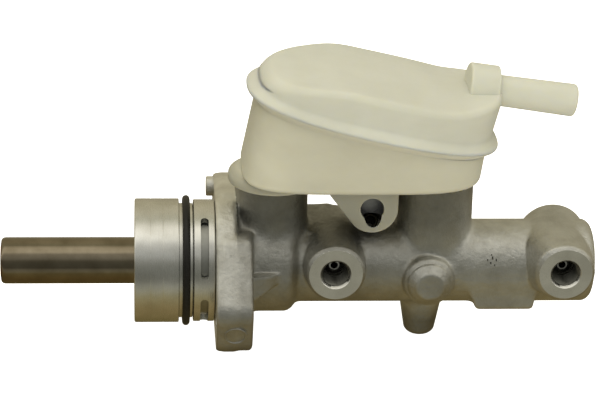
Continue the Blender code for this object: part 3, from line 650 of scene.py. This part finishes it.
def casting(x, y, z):
    """Distance to the casting before any machining."""
    bore = np.hypot(y, z)
    body = slab(bore - BARREL_R, x, -3, FRONT_END_X, 4.6)
    body = join(body, slab(bore - SHOULDER_R, x, -3, 35.4, 5.0), 4.0)
    flange = slab(outline_distance(y, z, PLATE_OUTLINE) - EAR_CORNER_R, x, -0.4, FLANGE_THICK, 2.0)
    for outline in EAR_OUTLINES:
        flange = join(flange, slab(outline_distance(y, z, outline) - 8.6, x, 2, EAR_THICK, 2.0), 2.5)
    body = join(body, flange, 5.0)
    for (turret_x, radius), fillet in zip(TURRETS, (5.0, 3.5)):
        body = join(body, turret(x, y, z, turret_x, radius), fillet)
    body = join(body, back_web(x, y, z), 3.0)
    for port_x, fillet, swell in zip(PORT_XS, (2.6, 0.8), (0.0, 0.2)):
        body = join(body, port_boss(x, y, z, port_x, swell), fillet)
    body = join(body, blind_boss(x, y, z), 2.5)
    body = join(body, under_boss(x, y, z), 3.0)
    body = join(body, underside_pad(x, y, z), 4.0)
    return join(body, gusset(x, y, z), 1.2)


def threaded_port(name, port_x):
    """Cutter for a pipe port: chamfered mouth, screw thread, flat floor and the seat's recess."""
    steps, pitch = 64, 1.0
    angles = np.arange(steps) * math.tau / steps
    floor = PORT_FACE - THREAD_DEPTH
    rings = []

    def add(along, radii):
        radii = np.broadcast_to(radii, (steps,))
        x, z = port_x + radii * np.cos(angles), PORT_Z + radii * np.sin(angles)
        rings.append(np.stack([x, np.full(steps, -along), z], 1))

    add(5, 2.0)
    add(floor - 2.6, 2.0)
    add(floor - 2.6, SEAT_R + 0.3)
    add(floor, SEAT_R + 0.3)
    add(floor, THREAD_R)
    for along in np.arange(floor + 1.2, PORT_FACE - 1.6, pitch / 5):
        turn = ((along - floor) / pitch - angles / math.tau) % 1.0
        add(along, THREAD_R - 0.25 + 0.62 * np.abs(2 * turn - 1))
    add(PORT_FACE - 1.2, 6.0)
    add(PORT_FACE - 0.15, PORT_MOUTH_R - 0.1)
    add(PORT_FACE + 0.2, PORT_MOUTH_R + 0.25)
    add(PORT_FACE + 3, PORT_MOUTH_R + 0.3)
    return ring_stack(name, rings, MACHINED)


def bore_cutter():
    corners = [(SPIGOT_X - 5, 0), (SPIGOT_X - 5, BORE_R)]
    grooves = [(x - 2.1, x + 2.1, 14.4) for x in (17.0, 34.0, 89.0, 106.0)]
    grooves += [(x - 2.5, x + 2.5, 12.4) for x, _ in TURRETS]
    for low, high, radius in sorted(grooves):
        corners += [(low, BORE_R), (low, radius), (high, radius), (high, BORE_R)]
    corners += [(160.0, BORE_R), (164.0, 0)]
    return lathe("bore_cutter", corners, MACHINED, steps=96)


def pin_rod(name, radius, start, end):
    return lathe(name, [(start, 0), (start, radius), (end, radius), (end, 0)], SPRING, PIN_MOUTH, TO_PIN, 48)


def painted_shade_faces(centres):
    """Which faces of the casting lie in a pipe port behind its mouth, or in a casting pit: they get a
    darkened copy of the metal as painted shade.
    """
    x, y, z = centres.T
    bore = np.hypot(y, z)
    behind_mouth = (y > -PORT_FACE + 0.9) & (y < -5)
    in_port = np.any([np.hypot(x - port_x, z - PORT_Z) < 6.4 for port_x in PORT_XS], 0)
    near_pits = (np.abs(x - 121.8) < 3) & (y < -14) & (z > 4) & (z < 11)
    below_skin = (bore < BARREL_R - 0.06) & (bore > BORE_R + 3)
    return in_port & behind_mouth | near_pits & below_skin


def machined_faces(centres, normals):
    """Which faces of the casting a tool has cut."""
    x, y, z = centres.T
    bore = np.hypot(y, z)
    cut = (x < 0.02) & (bore > 18) & (x > -0.1) | (x < -0.1) & (bore < 19.2)
    cut |= (bore < 14.6) & (x < 165)
    cut |= (z > TURRET_TOP_Z - 0.05) & (normals[:, 2] > 0.9)
    for turret_x, _ in TURRETS:
        cut |= (np.hypot(x - turret_x, y) < 13.4) & (z > 10)
    for port_x in PORT_XS:
        radial = np.hypot(x - port_x, z - PORT_Z)
        cut |= (radial < 7.2) & (y < -4) | (radial < 12.2) & (y < -PORT_FACE + 0.05)
    for side in (1, -1):
        by, bz = ear_point(BOLT_RADIUS, 0, side)
        cut |= np.hypot(y - by, z - bz) < BOLT_HOLE_R + 0.1
    return cut


def dress_casting(mesh):
    """Gives each face of the casting its look."""
    centres = face_vectors(mesh, "center") / MM
    as_cast, faced, dark, lit_flange_slot = range(4)
    looks = np.where(machined_faces(centres, face_vectors(mesh, "normal")), faced, as_cast)
    # Painted shade in the ports behind their mouths and in the casting pits.
    looks[painted_shade_faces(centres)] = dark
    x, y, z = centres.T
    # Faces high on the flange's edge get the copy with painted light.
    lit_flange_mask = (x < FLANGE_THICK - 0.2) & (z > 8) & (np.hypot(y, z) > 26)
    looks[(looks == as_cast) & lit_flange_mask] = lit_flange_slot
    mesh.materials.clear()
    for look in (CAST, FACED, SHADED_HOLLOW_METAL, LIT_FLANGE_CAST):
        mesh.materials.append(look)
    mesh.polygons.foreach_set("material_index", looks.astype(np.int32))


def cylinder_body():
    points, quads = surface_net(casting, (-5, -48, -35.5), (171, 48, 42.5), GRID_STEP)
    body = mesh_object("cast_body", points, quads, CAST)
    behind = [(-12, 12), (-12, 80), (0, 80), (0, 12)]
    top = [(TURRET_TOP_Z, 0), (TURRET_TOP_Z, 22), (TURRET_TOP_Z + 6, 22), (TURRET_TOP_Z + 6, 0)]
    face = [(PORT_FACE, 0), (PORT_FACE, 18), (PORT_FACE + 6, 18), (PORT_FACE + 6, 0)]
    cuts = [lathe("behind", behind, MACHINED, steps=64)]
    cuts += [lathe(f"top_{i}", top, MACHINED, (x, 0, 0), UPRIGHT, 48) for i, (x, _) in enumerate(TURRETS)]
    cuts += [lathe(f"face_{i}", face, MACHINED, (x, 0, PORT_Z), TO_FRONT, 48) for i, x in enumerate(PORT_XS)]
    combine(body, "DIFFERENCE", cuts)
    spigot = [(SPIGOT_X, 0), (SPIGOT_X, SPIGOT_R, 0.8), (1.5, SPIGOT_R), (1.5, 0)]
    mark = [(-1.5, 0), (-1.5, 4.9), (0.6, 4.9, 0.3), (0.6, 4.2, 0.2), (0.1, 3.9, 0.1), (0.1, 0)]
    ear_y, ear_z = ear_point(EAR_END, 0, 1)
    ear_turn = Matrix.Rotation(math.radians(90) + EAR_TILT, 4, "X")
    lug = [(-3.3, 0), (-3.3, 4.5, 0.8), (1.5, 4.5), (1.5, 0)]
    tools = [
        lathe("spigot", spigot, MACHINED, steps=128),
        lathe("ear_mark", mark, CAST, (8.1, ear_y, ear_z), ear_turn, 48),
        lathe("locating_lug", lug, CAST, (0, *ear_point(38.8, -8.5, -1)), ALONG_BORE, 48),
    ]
    combine(body, "UNION", tools)
    cutters = [bore_cutter()]
    for i, (x, _) in enumerate(TURRETS):
        rim = TURRET_TOP_Z - 2.7
        socket = [(8.9, 0), (8.9, 2.5), (SOCKET_FLOOR_Z, 2.5), (SOCKET_FLOOR_Z, SOCKET_R), (rim, SOCKET_R)]
        socket += [(rim, 13.3), (TURRET_TOP_Z - 0.3, 13.3), (TURRET_TOP_Z + 2, 15.6), (TURRET_TOP_Z + 2, 0)]
        cutters.append(lathe(f"socket_{i}", socket, MACHINED, (x, 0, 0), UPRIGHT, 96))
    cutters += [threaded_port(f"port_{i}", x) for i, x in enumerate(PORT_XS)]
    hole = [(-6, 0), (-6, BOLT_HOLE_R), (24, BOLT_HOLE_R), (24, 0)]
    for side in (1, -1):
        spot = (0, *ear_point(BOLT_RADIUS, 0, side))
        cutters.append(lathe(f"bolt_{side}", hole, MACHINED, spot, ALONG_BORE, 64))
    cutters.append(pin_rod("pin_hole", 3.5, 8.0, 17.5))
    for i, (x, degrees, radius) in enumerate(PITS):
        angle = math.radians(degrees)
        spot = (x, -BARREL_R * math.cos(angle), BARREL_R * math.sin(angle))
        pit = [(-radius, 0), (-radius / 2, radius), (radius / 2, radius), (radius, 0)]
        cutters.append(lathe(f"pit_{i}", pit, CAST, spot, ALONG_BORE, 8))
    combine(body, "DIFFERENCE", cutters)
    dress_casting(body.data)
    return finish_piece(body, "root", "cylinder_body", slot="cast_aluminium")


# ---------------------------------------------------------------- turned pieces


def rear_guide_hub():
    """Machined hub with two faint tool grooves, the O-ring's groove and a neck under the sleeve, darkened
    there as painted shade.
    """
    corners = [(-35.5, 14.3), (-35.5, 27.5, 0.9)]
    for x in (-28.3, -22.9):
        corners += [(x - 0.25, 27.5), (x, 27.4), (x + 0.25, 27.5)]
    corners += [
        (-15.9, 27.5, 0.5),
        (-15.9, 25.4),
        (-9.9, 25.4, 0.3),
        (-9.9, 23.4),
        (-0.6, 23.4),
        (-0.6, 19.3),
        (-19.7, 19.3),
        (-19.7, 14.3),
        (-33.1, 14.3),
        (-33.1, 15.5),
        (-34.9, 15.5),
        (-34.9, 14.3),
    ]
    hub = lathe("guide_hub", corners, MACHINED, steps=160)
    hub.data.materials.append(SHADED_NECK_METAL)
    # The neck under the sleeve gets the painted shade.
    for face in hub.data.polygons:
        x, y, z = face.center / MM
        face.material_index = int(x > -9.8 and 19.5 < math.hypot(y, z) < 24.5)
    return finish_piece(hub, "root", "rear_guide_hub", slot="machined_aluminium")


def slotted_sleeve():
    corners = [(-9.6, 24.4), (-9.6, 27.1, 0.5), (-0.3, 27.1, 0.6), (-0.3, 24.4)]
    sleeve = lathe("sleeve", corners, MACHINED, steps=160)
    cutters = []
    half, pitch = math.radians(60.4) / 2, math.radians(82.2)
    for n in range(4):
        middle = math.radians(37.1) - n * pitch
        rings = []
        for share in (-1, -0.985, -0.95, -0.92, *np.linspace(-0.85, 0.85, 24), 0.92, 0.95, 0.985, 1):
            angle = middle + share * half
            wide = 1.75 * math.sqrt(max(1 - max(abs(share) - 0.88, 0) ** 2 / 0.0145, 0.03))
            corners = [(-4.85 - wide, 22), (-4.85 + wide, 22), (-4.85 + wide, 30), (-4.85 - wide, 30)]
            rings.append([(x, -r * math.cos(angle), r * math.sin(angle)) for x, r in corners])
        cutters.append(ring_stack(f"window_{n}", rings, MACHINED))
    combine(sleeve, "DIFFERENCE", cutters)
    return finish_piece(sleeve, "root", "slotted_sleeve", slot="machined_aluminium")


def wire_ring(name, x, radius, wire, look):
    turns = [math.tau * i / 24 for i in range(24)]
    section = [(x + wire * math.cos(a), radius + wire * math.sin(a)) for a in turns]
    return lathe(name, section, look, steps=160)


def piston_front(front):
    """The front edge of a piston and the recess for its spring."""
    return [(front, PISTON_R, 0.7), (front, 7.6, 0.4), (front - 20.2, 7.6)]


def pistons():
    tail, front = -94.2, 36.5
    corners = [
        (tail + 20, 0),
        (tail + 17, 4.8),
        (tail, 4.8, 0.8),
        (tail, PISTON_R, 2.1),
        *piston_front(front),
        (front - 20.2, 2.5),
        (8.1, 2.5),
        (8.1, 0),
    ]
    primary = lathe("primary_plunger", corners, ANODISED, steps=128)
    combine(primary, "DIFFERENCE", feed_holes(29.6))
    finish_piece(primary, "primary", "primary_piston", slot="dark_anodised_aluminium")
    rear, front = 72.0, 108.5
    corners = [
        (rear + 13, 0),
        (rear + 13, 5.4),
        (rear, 5.4, 0.4),
        (rear, PISTON_R, 0.9),
        *piston_front(front),
        (front - 20.2, 0),
    ]
    secondary = lathe("secondary_plunger", corners, ANODISED, steps=128)
    combine(secondary, "DIFFERENCE", feed_holes(101.6))
    finish_piece(secondary, "secondary", "secondary_piston", slot="dark_anodised_aluminium")


def feed_holes(x):
    hole = [(4, 0), (4, 0.9), (14, 0.9), (14, 0)]
    turns = [Matrix.Rotation(math.tau * i / 4, 4, "X") for i in range(4)]
    return [lathe(f"feed_{i}", hole, ANODISED, (x, 0, 0), turn, 16) for i, turn in enumerate(turns)]


def port_seats():
    floor = PORT_FACE - THREAD_DEPTH
    corners = [
        (floor - 2.3, 1.5),
        (floor - 2.3, SEAT_R),
        (floor + 0.3, SEAT_R, 0.2),
        (floor + 2.5, 2.4, 0.2),
        (floor + 2.5, 1.5, 0.2),
    ]
    for name, x in zip(("rear_port_seat", "front_port_seat"), PORT_XS):
        seat = lathe(name + "_v", corners, STEEL, (x, 0, PORT_Z), TO_FRONT, 64)
        finish_piece(seat, "root", name, slot="zinc_steel")


def coil(name, start, end, turns):
    """A compression spring with its end turns closer together than the rest."""
    wire, radius, sides = 0.8, 6.35, 12
    close_pitch = 2 * wire + 0.5
    low, high = start + wire, end - wire
    open_pitch = (high - low - 2 * close_pitch) / (turns - 2)
    t = np.linspace(0, turns, turns * 36 + 1)
    x = low + close_pitch * np.minimum(t, 1) + open_pitch * np.clip(t - 1, 0, turns - 2)
    x += close_pitch * np.clip(t - turns + 1, 0, 1)
    angle = math.tau * t
    out = np.stack([np.zeros_like(t), -np.cos(angle), np.sin(angle)], 1)
    centre = radius * out
    centre[:, 0] = x
    tangent = np.gradient(centre, axis=0)
    tangent /= np.linalg.norm(tangent, axis=1, keepdims=True)
    side = np.cross(tangent, out)
    around = np.arange(sides) * math.tau / sides
    rings = []
    for c, o, s in zip(centre, out, side):
        rings.append([c + wire * (o * math.cos(a) + s * math.sin(a)) for a in around])
    return ring_stack(name, rings, SPRING)


def springs():
    start, end = 16.6, 70.1
    spring = coil("return_spring_rear", start, end, 9)
    finish_piece(spring, "primary", "primary_spring", slot="spring_steel")
    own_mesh(spring)
    start, end = 88.6, 158.3
    spring = coil("return_spring_front", start, end, 11)
    finish_piece(spring, "root", "secondary_spring", slot="spring_steel")
    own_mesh(spring)


# ---------------------------------------------------------------- reservoir


def superellipse(half_x, half_y, power):
    """(u, v) of a rounded rectangle's points; a higher power makes its corners squarer."""
    angle = (np.arange(RING_POINTS) + 0.5) * math.tau / RING_POINTS
    c, s = np.cos(angle), np.sin(angle)
    u = half_x * np.sign(c) * np.abs(c) ** (2 / power)
    v = half_y * np.sign(s) * np.abs(s) ** (2 / power)
    return u, v


def on_seam(u, v, height):
    """Points in the tilted frame of the weld seam: u runs down to the front, height along its normal."""
    x = SEAM_CENTRE[0] + u * math.cos(SEAM_TILT) + height * math.sin(SEAM_TILT)
    z = SEAM_CENTRE[2] - u * math.sin(SEAM_TILT) + height * math.cos(SEAM_TILT)
    return np.stack(np.broadcast_arrays(x, v, z), 1)


def seam_ring(outline, inset, height):
    half_x, half_y, power = outline
    return on_seam(*superellipse(half_x - inset, half_y - inset, power), height)


def bead(side):
    """Rings that carry the wall out to the weld bead's widest line; side 1 is the lid's half."""
    half_x, half_y, power = HEAD
    start, drop = (0.5, 4.9) if side > 0 else (0.0, 3.8)
    rings = []
    for share in (0.03, 0.1, 0.22, 0.37, 0.53, 0.69, 0.83, 0.93, 0.985, 1.0):
        height = side * (0.04 + drop * math.acos(2 * share - 1) / math.pi)
        wall = seam_ring((half_x + start, half_y, power), 0, height)
        rings.append(wall + share * (seam_ring(RIM, 0, height) - wall))
    return rings


def tub_ring(inset, rise=None, share=None):
    """A ring of the tub's wall, either at a rise above its floor or at a share of the way to the seam."""
    centre, half_x, half_y, power = FOOT
    u, v = superellipse(half_x - inset, half_y - inset, power)
    foot = np.stack([centre + u, v, np.full(RING_POINTS, FLOOR_Z)], 1)
    head = seam_ring(HEAD, inset, -RIM_THICK)
    if share is None:
        share = (rise / (head[:, 2] - FLOOR_Z))[:, None]
    return foot + share * (head - foot)


def reservoir_lower_shell():
    arcs = [math.radians(a) for a in (0, 20, 40, 60, 80, 90)]
    edge = 3.0
    rings = [tub_ring(inset, 0.0) for inset in (20, 8)]
    rings += [tub_ring(edge * (1 - math.sin(a)), edge * (1 - math.cos(a))) for a in arcs]
    rings += [tub_ring(0, share=s) for s in np.linspace(0.2, 0.94, 12)]
    rings += bead(-1)
    rings.append(seam_ring(HEAD, WALL, -0.02))
    rings += [tub_ring(WALL, share=s) for s in np.linspace(0.96, 0.25, 6)]
    edge = 2.0
    rings += [tub_ring(WALL + edge * (1 - math.sin(a)), WALL + edge * (1 - math.cos(a))) for a in arcs[::-1]]
    rings += [tub_ring(inset, WALL) for inset in (8, 20)]
    shell = ring_stack("reservoir_tub", rings, TUB_PLASTIC)
    top = FLOOR_Z + 1
    disc = [(39.3, 0), (39.3, 20, 0.9), (FLOOR_Z - 0.6, 20, 1.6), (top, 16), (top, 0)]
    tools = [lathe("skirt_disc", disc, TUB_PLASTIC, (TURRETS[0][0], 0, 0), UPRIGHT)]
    skirt = [(39.3, 0), (39.3, 14, 0.6), (top, 15), (top, 0)]
    tools.append(lathe("front_skirt", skirt, TUB_PLASTIC, (TURRETS[1][0], 0, 0), UPRIGHT))
    feed = [(28.5, 0), (28.5, 7.6, 0.6), (top, 7.6), (top, 0)]
    for i, (x, _) in enumerate(TURRETS):
        tools.append(lathe(f"feed_{i}", feed, TUB_PLASTIC, (x, 0, 0), UPRIGHT, 64))
    lug = [(79.4, top), (60, top), (43.5, top)]
    lug_x, lug_z, lug_r = 68.2, 31.0, 11.2
    arc = [math.radians(a) for a in np.linspace(222, 360, 40)]
    lug += [(lug_x + lug_r * math.cos(a), lug_z + lug_r * math.sin(a)) for a in arc]
    tools.append(prism("lug", lug, -15.0, 11.0, lambda u, v, d: (u, d, v), TUB_PLASTIC, 0.9))
    combine(shell, "UNION", tools)
    cutters = []
    bore = [(20, 0), (20, 5.6), (54, 5.6), (54, 0)]
    for i, (x, _) in enumerate(TURRETS):
        cutters.append(lathe(f"bore_{i}", bore, TUB_PLASTIC, (x, 0, 0), UPRIGHT, 64))
    way_r = 3.7
    cutters.append(pin_rod("pin_way", way_r, -12, 30))
    funnel = [(-12, 0), (-12, way_r), (8.5, way_r), (8.5, 0)]
    funnel_at = (PIN_MOUTH[0] + 0.5, PIN_MOUTH[1], PIN_MOUTH[2] - 1.2)
    cutters.append(lathe("pin_funnel", funnel, TUB_PLASTIC, funnel_at, TO_PIN, 48))
    mouth = [(6.0, 0), (6.0, 5.1), (14.5, 5.1), (15.4, 5.5), (17, 5.8), (17, 0)]
    mouth_z = PIN_MOUTH[2] + 2.0
    cutters.append(lathe("pin_mouth", mouth, TUB_PLASTIC, (PIN_MOUTH[0], 0, mouth_z), TO_FRONT, 64))
    combine(shell, "DIFFERENCE", cutters)
    mesh = shell.data
    x, y, z = (face_vectors(mesh, "center") / MM - (PIN_MOUTH[0], 0, mouth_z)).T
    inside = (np.abs(x) < 5.2) & (y > -14.2) & (y < 10) & (z < 5.2) & (z > -18)
    inside &= np.hypot(x, np.maximum(z, 0)) < 5.25
    mesh.materials.append(CAVITY)
    mesh.polygons.foreach_set("material_index", inside.astype(np.int32))
    finish_piece(shell, "root", "reservoir_lower_shell", slot="translucent_plastic", sharp=40)


def ceiling(x, y, drop):
    """Height of the lid's top: level, then falling, then level again, and crowned across its lower part."""
    fall = LID_HIGH_Z - (x - LID_BEND_X) * (LID_HIGH_Z - LID_LOW_Z) / (LID_FLAT_X - LID_BEND_X)
    high = join(np.full_like(x, LID_HIGH_Z), fall, 2.2)
    crown = LID_CROWN * np.clip((x - 40) / 40, 0, 1) * (1 - (y / 34) ** 2)
    return meet(high, LID_LOW_Z - (x - LID_FLAT_X) * 0.011, 1.6) + crown - drop


def lid_shoulder(inset, drop):
    """Rings over the lid's rounded shoulder, widest at the rear end."""
    c = np.cos((np.arange(RING_POINTS) + 0.5) * math.tau / RING_POINTS)
    reach = 3.0 + 4.5 * np.clip(-c - 0.35, 0, 1) ** 1.5
    rings = []
    for a in np.radians((0, 12, 25, 38, 52, 66, 80, 90)):
        ring_in = reach * (1 - math.cos(a))
        half_x, half_y, power = HEAD
        u, v = superellipse(half_x + 0.5 - inset, half_y - inset, power)
        length = np.hypot(u, v)
        shrink = 1 - ring_in / length
        u, v = u * shrink, v * shrink
        height = np.full(RING_POINTS, 16.0)
        for _ in range(8):
            point = on_seam(u, v, height)
            height += (ceiling(point[:, 0], point[:, 1], drop) - point[:, 2]) * 0.9
        rings.append(on_seam(u, v, height - reach * (1 - math.sin(a))))
    return rings


def lid_half(inset, drop):
    """Rings from the foot of the lid's wall over its shoulder to the middle of its top."""
    half_x, half_y, power = HEAD
    foot = seam_ring((half_x + 0.5, half_y, power), inset, RIM_THICK + 3.4)
    shoulder = lid_shoulder(inset, drop)
    walls = [foot + (shoulder[0] - foot) * s for s in (0, 0.3, 0.65)]
    last = shoulder[-1]
    top = []
    for scale in (0.93, 0.84, 0.72, 0.58, 0.44, 0.3, 0.16, 0.06):
        u = (last[:, 0] - SEAM_CENTRE[0]) * scale
        x = SEAM_CENTRE[0] + u + (last[:, 0].mean() - SEAM_CENTRE[0]) * (1 - scale)
        y = last[:, 1] * scale
        top.append(np.stack([x, y, ceiling(x, y, drop)], 1))
    return walls + shoulder + top


def reservoir_upper_shell():
    rings = lid_half(0, 0)[::-1]
    rings += bead(1)
    rings.append(seam_ring(HEAD, WALL, 0.02))
    rings += lid_half(WALL, WALL * 1.03)
    shell = ring_stack("reservoir_lid", rings, LID_PLASTIC)
    nipple = [(6, 0), (6, 6.7), (NIPPLE_LENGTH, 7.2, 1.8), (NIPPLE_LENGTH, 0)]
    collar = [(0, 0), (0, 10.6, 1.2), (13.0, 10.6, 0.9), (13.0, 7.6, 0.5), (14.2, 6.9), (14.2, 0)]
    tools = [
        lathe("collar", collar, LID_PLASTIC, NIPPLE_START, TO_NIPPLE, 96),
        lathe("nipple", nipple, LID_PLASTIC, NIPPLE_START, TO_NIPPLE, 96),
    ]
    combine(shell, "UNION", tools)
    well = [(110.5, 60), (119.5, 60), (119.5, 86), (110.5, 87)]
    bore = [(4, 0), (4, 4.3), (NIPPLE_LENGTH - 0.4, 4.3), (NIPPLE_LENGTH + 1, 5.4), (NIPPLE_LENGTH + 1, 0)]
    cutters = [
        prism("well", well, -5, 5, lambda u, v, d: (u, d, v), LID_PLASTIC),
        lathe("nipple_bore", bore, LID_PLASTIC, NIPPLE_START, TO_NIPPLE, 64),
    ]
    combine(shell, "DIFFERENCE", cutters)
    finish_piece(shell, "root", "reservoir_upper_shell", "hose_nipple", slot="translucent_plastic", sharp=40)


def spring_pin():
    tube = [(8.0, 2.3), (8.0, 3.2, 0.3), (17.0, 3.2, 0.3), (17.0, 2.3)]
    pin = lathe("slotted_pin", tube, PIN_STEEL, PIN_MOUTH, TO_PIN, 64)
    slit = [(-0.45, 1), (0.45, 1), (0.45, 5), (-0.45, 5)]
    move = Matrix.Translation(PIN_MOUTH) @ TO_PIN
    cutter = prism("slit", slit, 0, 25, lambda u, v, d: move @ Vector((u, v, d)), PIN_STEEL)
    combine(pin, "DIFFERENCE", [cutter])
    finish_piece(pin, "root", "reservoir_pin", slot="spring_steel")


# ---------------------------------------------------------------- the rest of the scene


def keep_cad_nodes():
    """The pieces whose CAD shape is right get their material and smooth shading."""
    looks = {
        "black_rubber": RUBBER,
        "zinc_steel": STEEL,
        "spring_steel": SPRING,
        "bearing_bush": BUSH,
        "translucent_plastic": TUB_PLASTIC,
        "machined_aluminium": MACHINED,
        "dark_anodised_aluminium": ANODISED,
        "cast_aluminium": CAST,
    }
    for part in frame["record"]["subparts"]:
        item = frame["nodes"][part["node"]]
        if item.hide_render:
            continue
        item.data.materials.clear()
        item.data.materials.append(looks[part["material_slot"]])
        item.data.shade_smooth()
        item.data.set_sharp_from_angle(angle=math.radians(30))


def world_light():
    """Light by the direction's angle about the bore: bright overhead, darker horizon, warm ground."""
    world = bpy.data.worlds.new("studio")
    bpy.context.scene.world = world
    world.use_nodes = True
    tree = world.node_tree
    where = tree.nodes.new("ShaderNodeTexCoord")
    split = tree.nodes.new("ShaderNodeSeparateXYZ")
    flip = tree.nodes.new("ShaderNodeMath")
    flip.operation = "MULTIPLY"
    flip.inputs[1].default_value = -1
    angle = tree.nodes.new("ShaderNodeMath")
    angle.operation = "ARCTAN2"
    share = tree.nodes.new("ShaderNodeMapRange")
    share.inputs["From Min"].default_value = -math.pi
    share.inputs["From Max"].default_value = math.pi
    ramp = tree.nodes.new("ShaderNodeValToRGB")
    tree.links.new(where.outputs["Generated"], split.inputs[0])
    tree.links.new(split.outputs["Y"], flip.inputs[0])
    tree.links.new(split.outputs["Z"], angle.inputs[0])
    tree.links.new(flip.outputs[0], angle.inputs[1])
    tree.links.new(angle.outputs[0], share.inputs["Value"])
    tree.links.new(share.outputs["Result"], ramp.inputs["Fac"])
    tree.links.new(ramp.outputs["Color"], tree.nodes["Background"].inputs["Color"])
    tree.nodes["Background"].inputs["Strength"].default_value = 1.0
    # Degrees from the front (0) over the top (90) to the back (180), negative below.
    stops = [
        (-180, (0.37, 0.33, 0.23)),
        (-130, (0.13, 0.10, 0.035)),
        (-75, (0.25, 0.19, 0.085)),
        (-46, (0.28, 0.245, 0.13)),
        (-36, (0.34, 0.33, 0.25)),
        (-24, (0.30, 0.30, 0.26)),
        (-14, (0.15, 0.15, 0.13)),
        (5, (0.16, 0.165, 0.145)),
        (20, (0.20, 0.20, 0.175)),
        (34, (0.42, 0.425, 0.40)),
        (54, (0.58, 0.575, 0.54)),
        (66, (1.15, 1.13, 1.03)),
        (88, (1.08, 1.04, 0.92)),
        (104, (0.50, 0.49, 0.38)),
        (126, (0.53, 0.49, 0.36)),
        (159, (0.44, 0.40, 0.27)),
        (180, (0.37, 0.33, 0.23)),
    ]
    elements = ramp.color_ramp.elements
    for degrees, colour in stops[1:-1]:
        elements.new((degrees + 180) / 360).color = (*colour, 1)
    elements[0].color = (*stops[0][1], 1)
    elements[-1].color = (*stops[-1][1], 1)


def area_light(name, at, size, power, colour):
    """A soft box aimed at the middle of the object, unseen by reflections."""
    target = (0.06, 0, 0.04)
    data = bpy.data.lights.new(name, "AREA")
    data.shape = "RECTANGLE"
    data.size, data.size_y = size
    data.energy = power
    data.color = colour
    lamp = bpy.data.objects.new(name, data)
    lamp.location = at
    lamp.rotation_euler = (Vector(target) - Vector(at)).to_track_quat("-Z", "Y").to_euler()
    lamp.visible_glossy = False
    bpy.context.scene.collection.objects.link(lamp)


def floor():
    look, shader = shader_of("floor_white", (0.95, 0.95, 0.95), 0.9, 0.0)
    shader.inputs["Emission Color"].default_value = (1, 1, 1, 1)
    shader.inputs["Emission Strength"].default_value = 1.0
    half, z = 9000, -36.0
    corners = [(-half, -half, z), (half, -half, z), (half, half, z), (-half, half, z)]
    ground = mesh_object("floor", corners, [(0, 1, 2, 3)], look)
    ground.visible_glossy = False
    ground.visible_diffuse = False
    ground.visible_shadow = False


def camera():
    """The viewpoint: above the front and slightly towards the pushrod end."""
    elevation, yaw, roll = math.radians(23.4), math.radians(4.3), math.radians(-1.71)
    target, distance = Vector((37.4, 0, 29.1)) * MM, 0.98
    level = math.cos(elevation)
    back = Vector((-math.sin(yaw) * level, -math.cos(yaw) * level, math.sin(elevation)))
    right = (-back).cross(Vector((0, 0, 1))).normalized()
    up = right.cross(-back)
    tilted_right = right * math.cos(roll) - up * math.sin(roll)
    tilted_up = up * math.cos(roll) + right * math.sin(roll)
    data = bpy.data.cameras.new("camera")
    data.sensor_width = 36
    data.lens = 133.3
    data.clip_end = 50
    item = bpy.data.objects.new("camera", data)
    turn = Matrix((tilted_right, tilted_up, back)).transposed().to_4x4()
    item.matrix_world = Matrix.Translation(target + back * distance) @ turn
    bpy.context.scene.collection.objects.link(item)
    bpy.context.scene.camera = item


cylinder_body()
rear_guide_hub()
slotted_sleeve()
finish_piece(wire_ring("o_ring", -12.75, 27.3, 1.65, RUBBER), "root", "hub_oring", slot="black_rubber")
pistons()
port_seats()
springs()
reservoir_lower_shell()
reservoir_upper_shell()
spring_pin()
keep_cad_nodes()
world_light()
area_light("key", (-0.3, -0.5, 1.3), (1.2, 0.9), 5, (1.0, 0.98, 0.94))
area_light("fill", (0.2, -1.4, 0.5), (1.2, 0.8), 8, (1.0, 0.99, 0.96))
area_light("bounce", (0.1, -0.7, -0.9), (1.2, 0.8), 6, (1.0, 0.98, 0.94))
floor()
camera()
bpy.context.scene.view_settings.view_transform = "Standard"
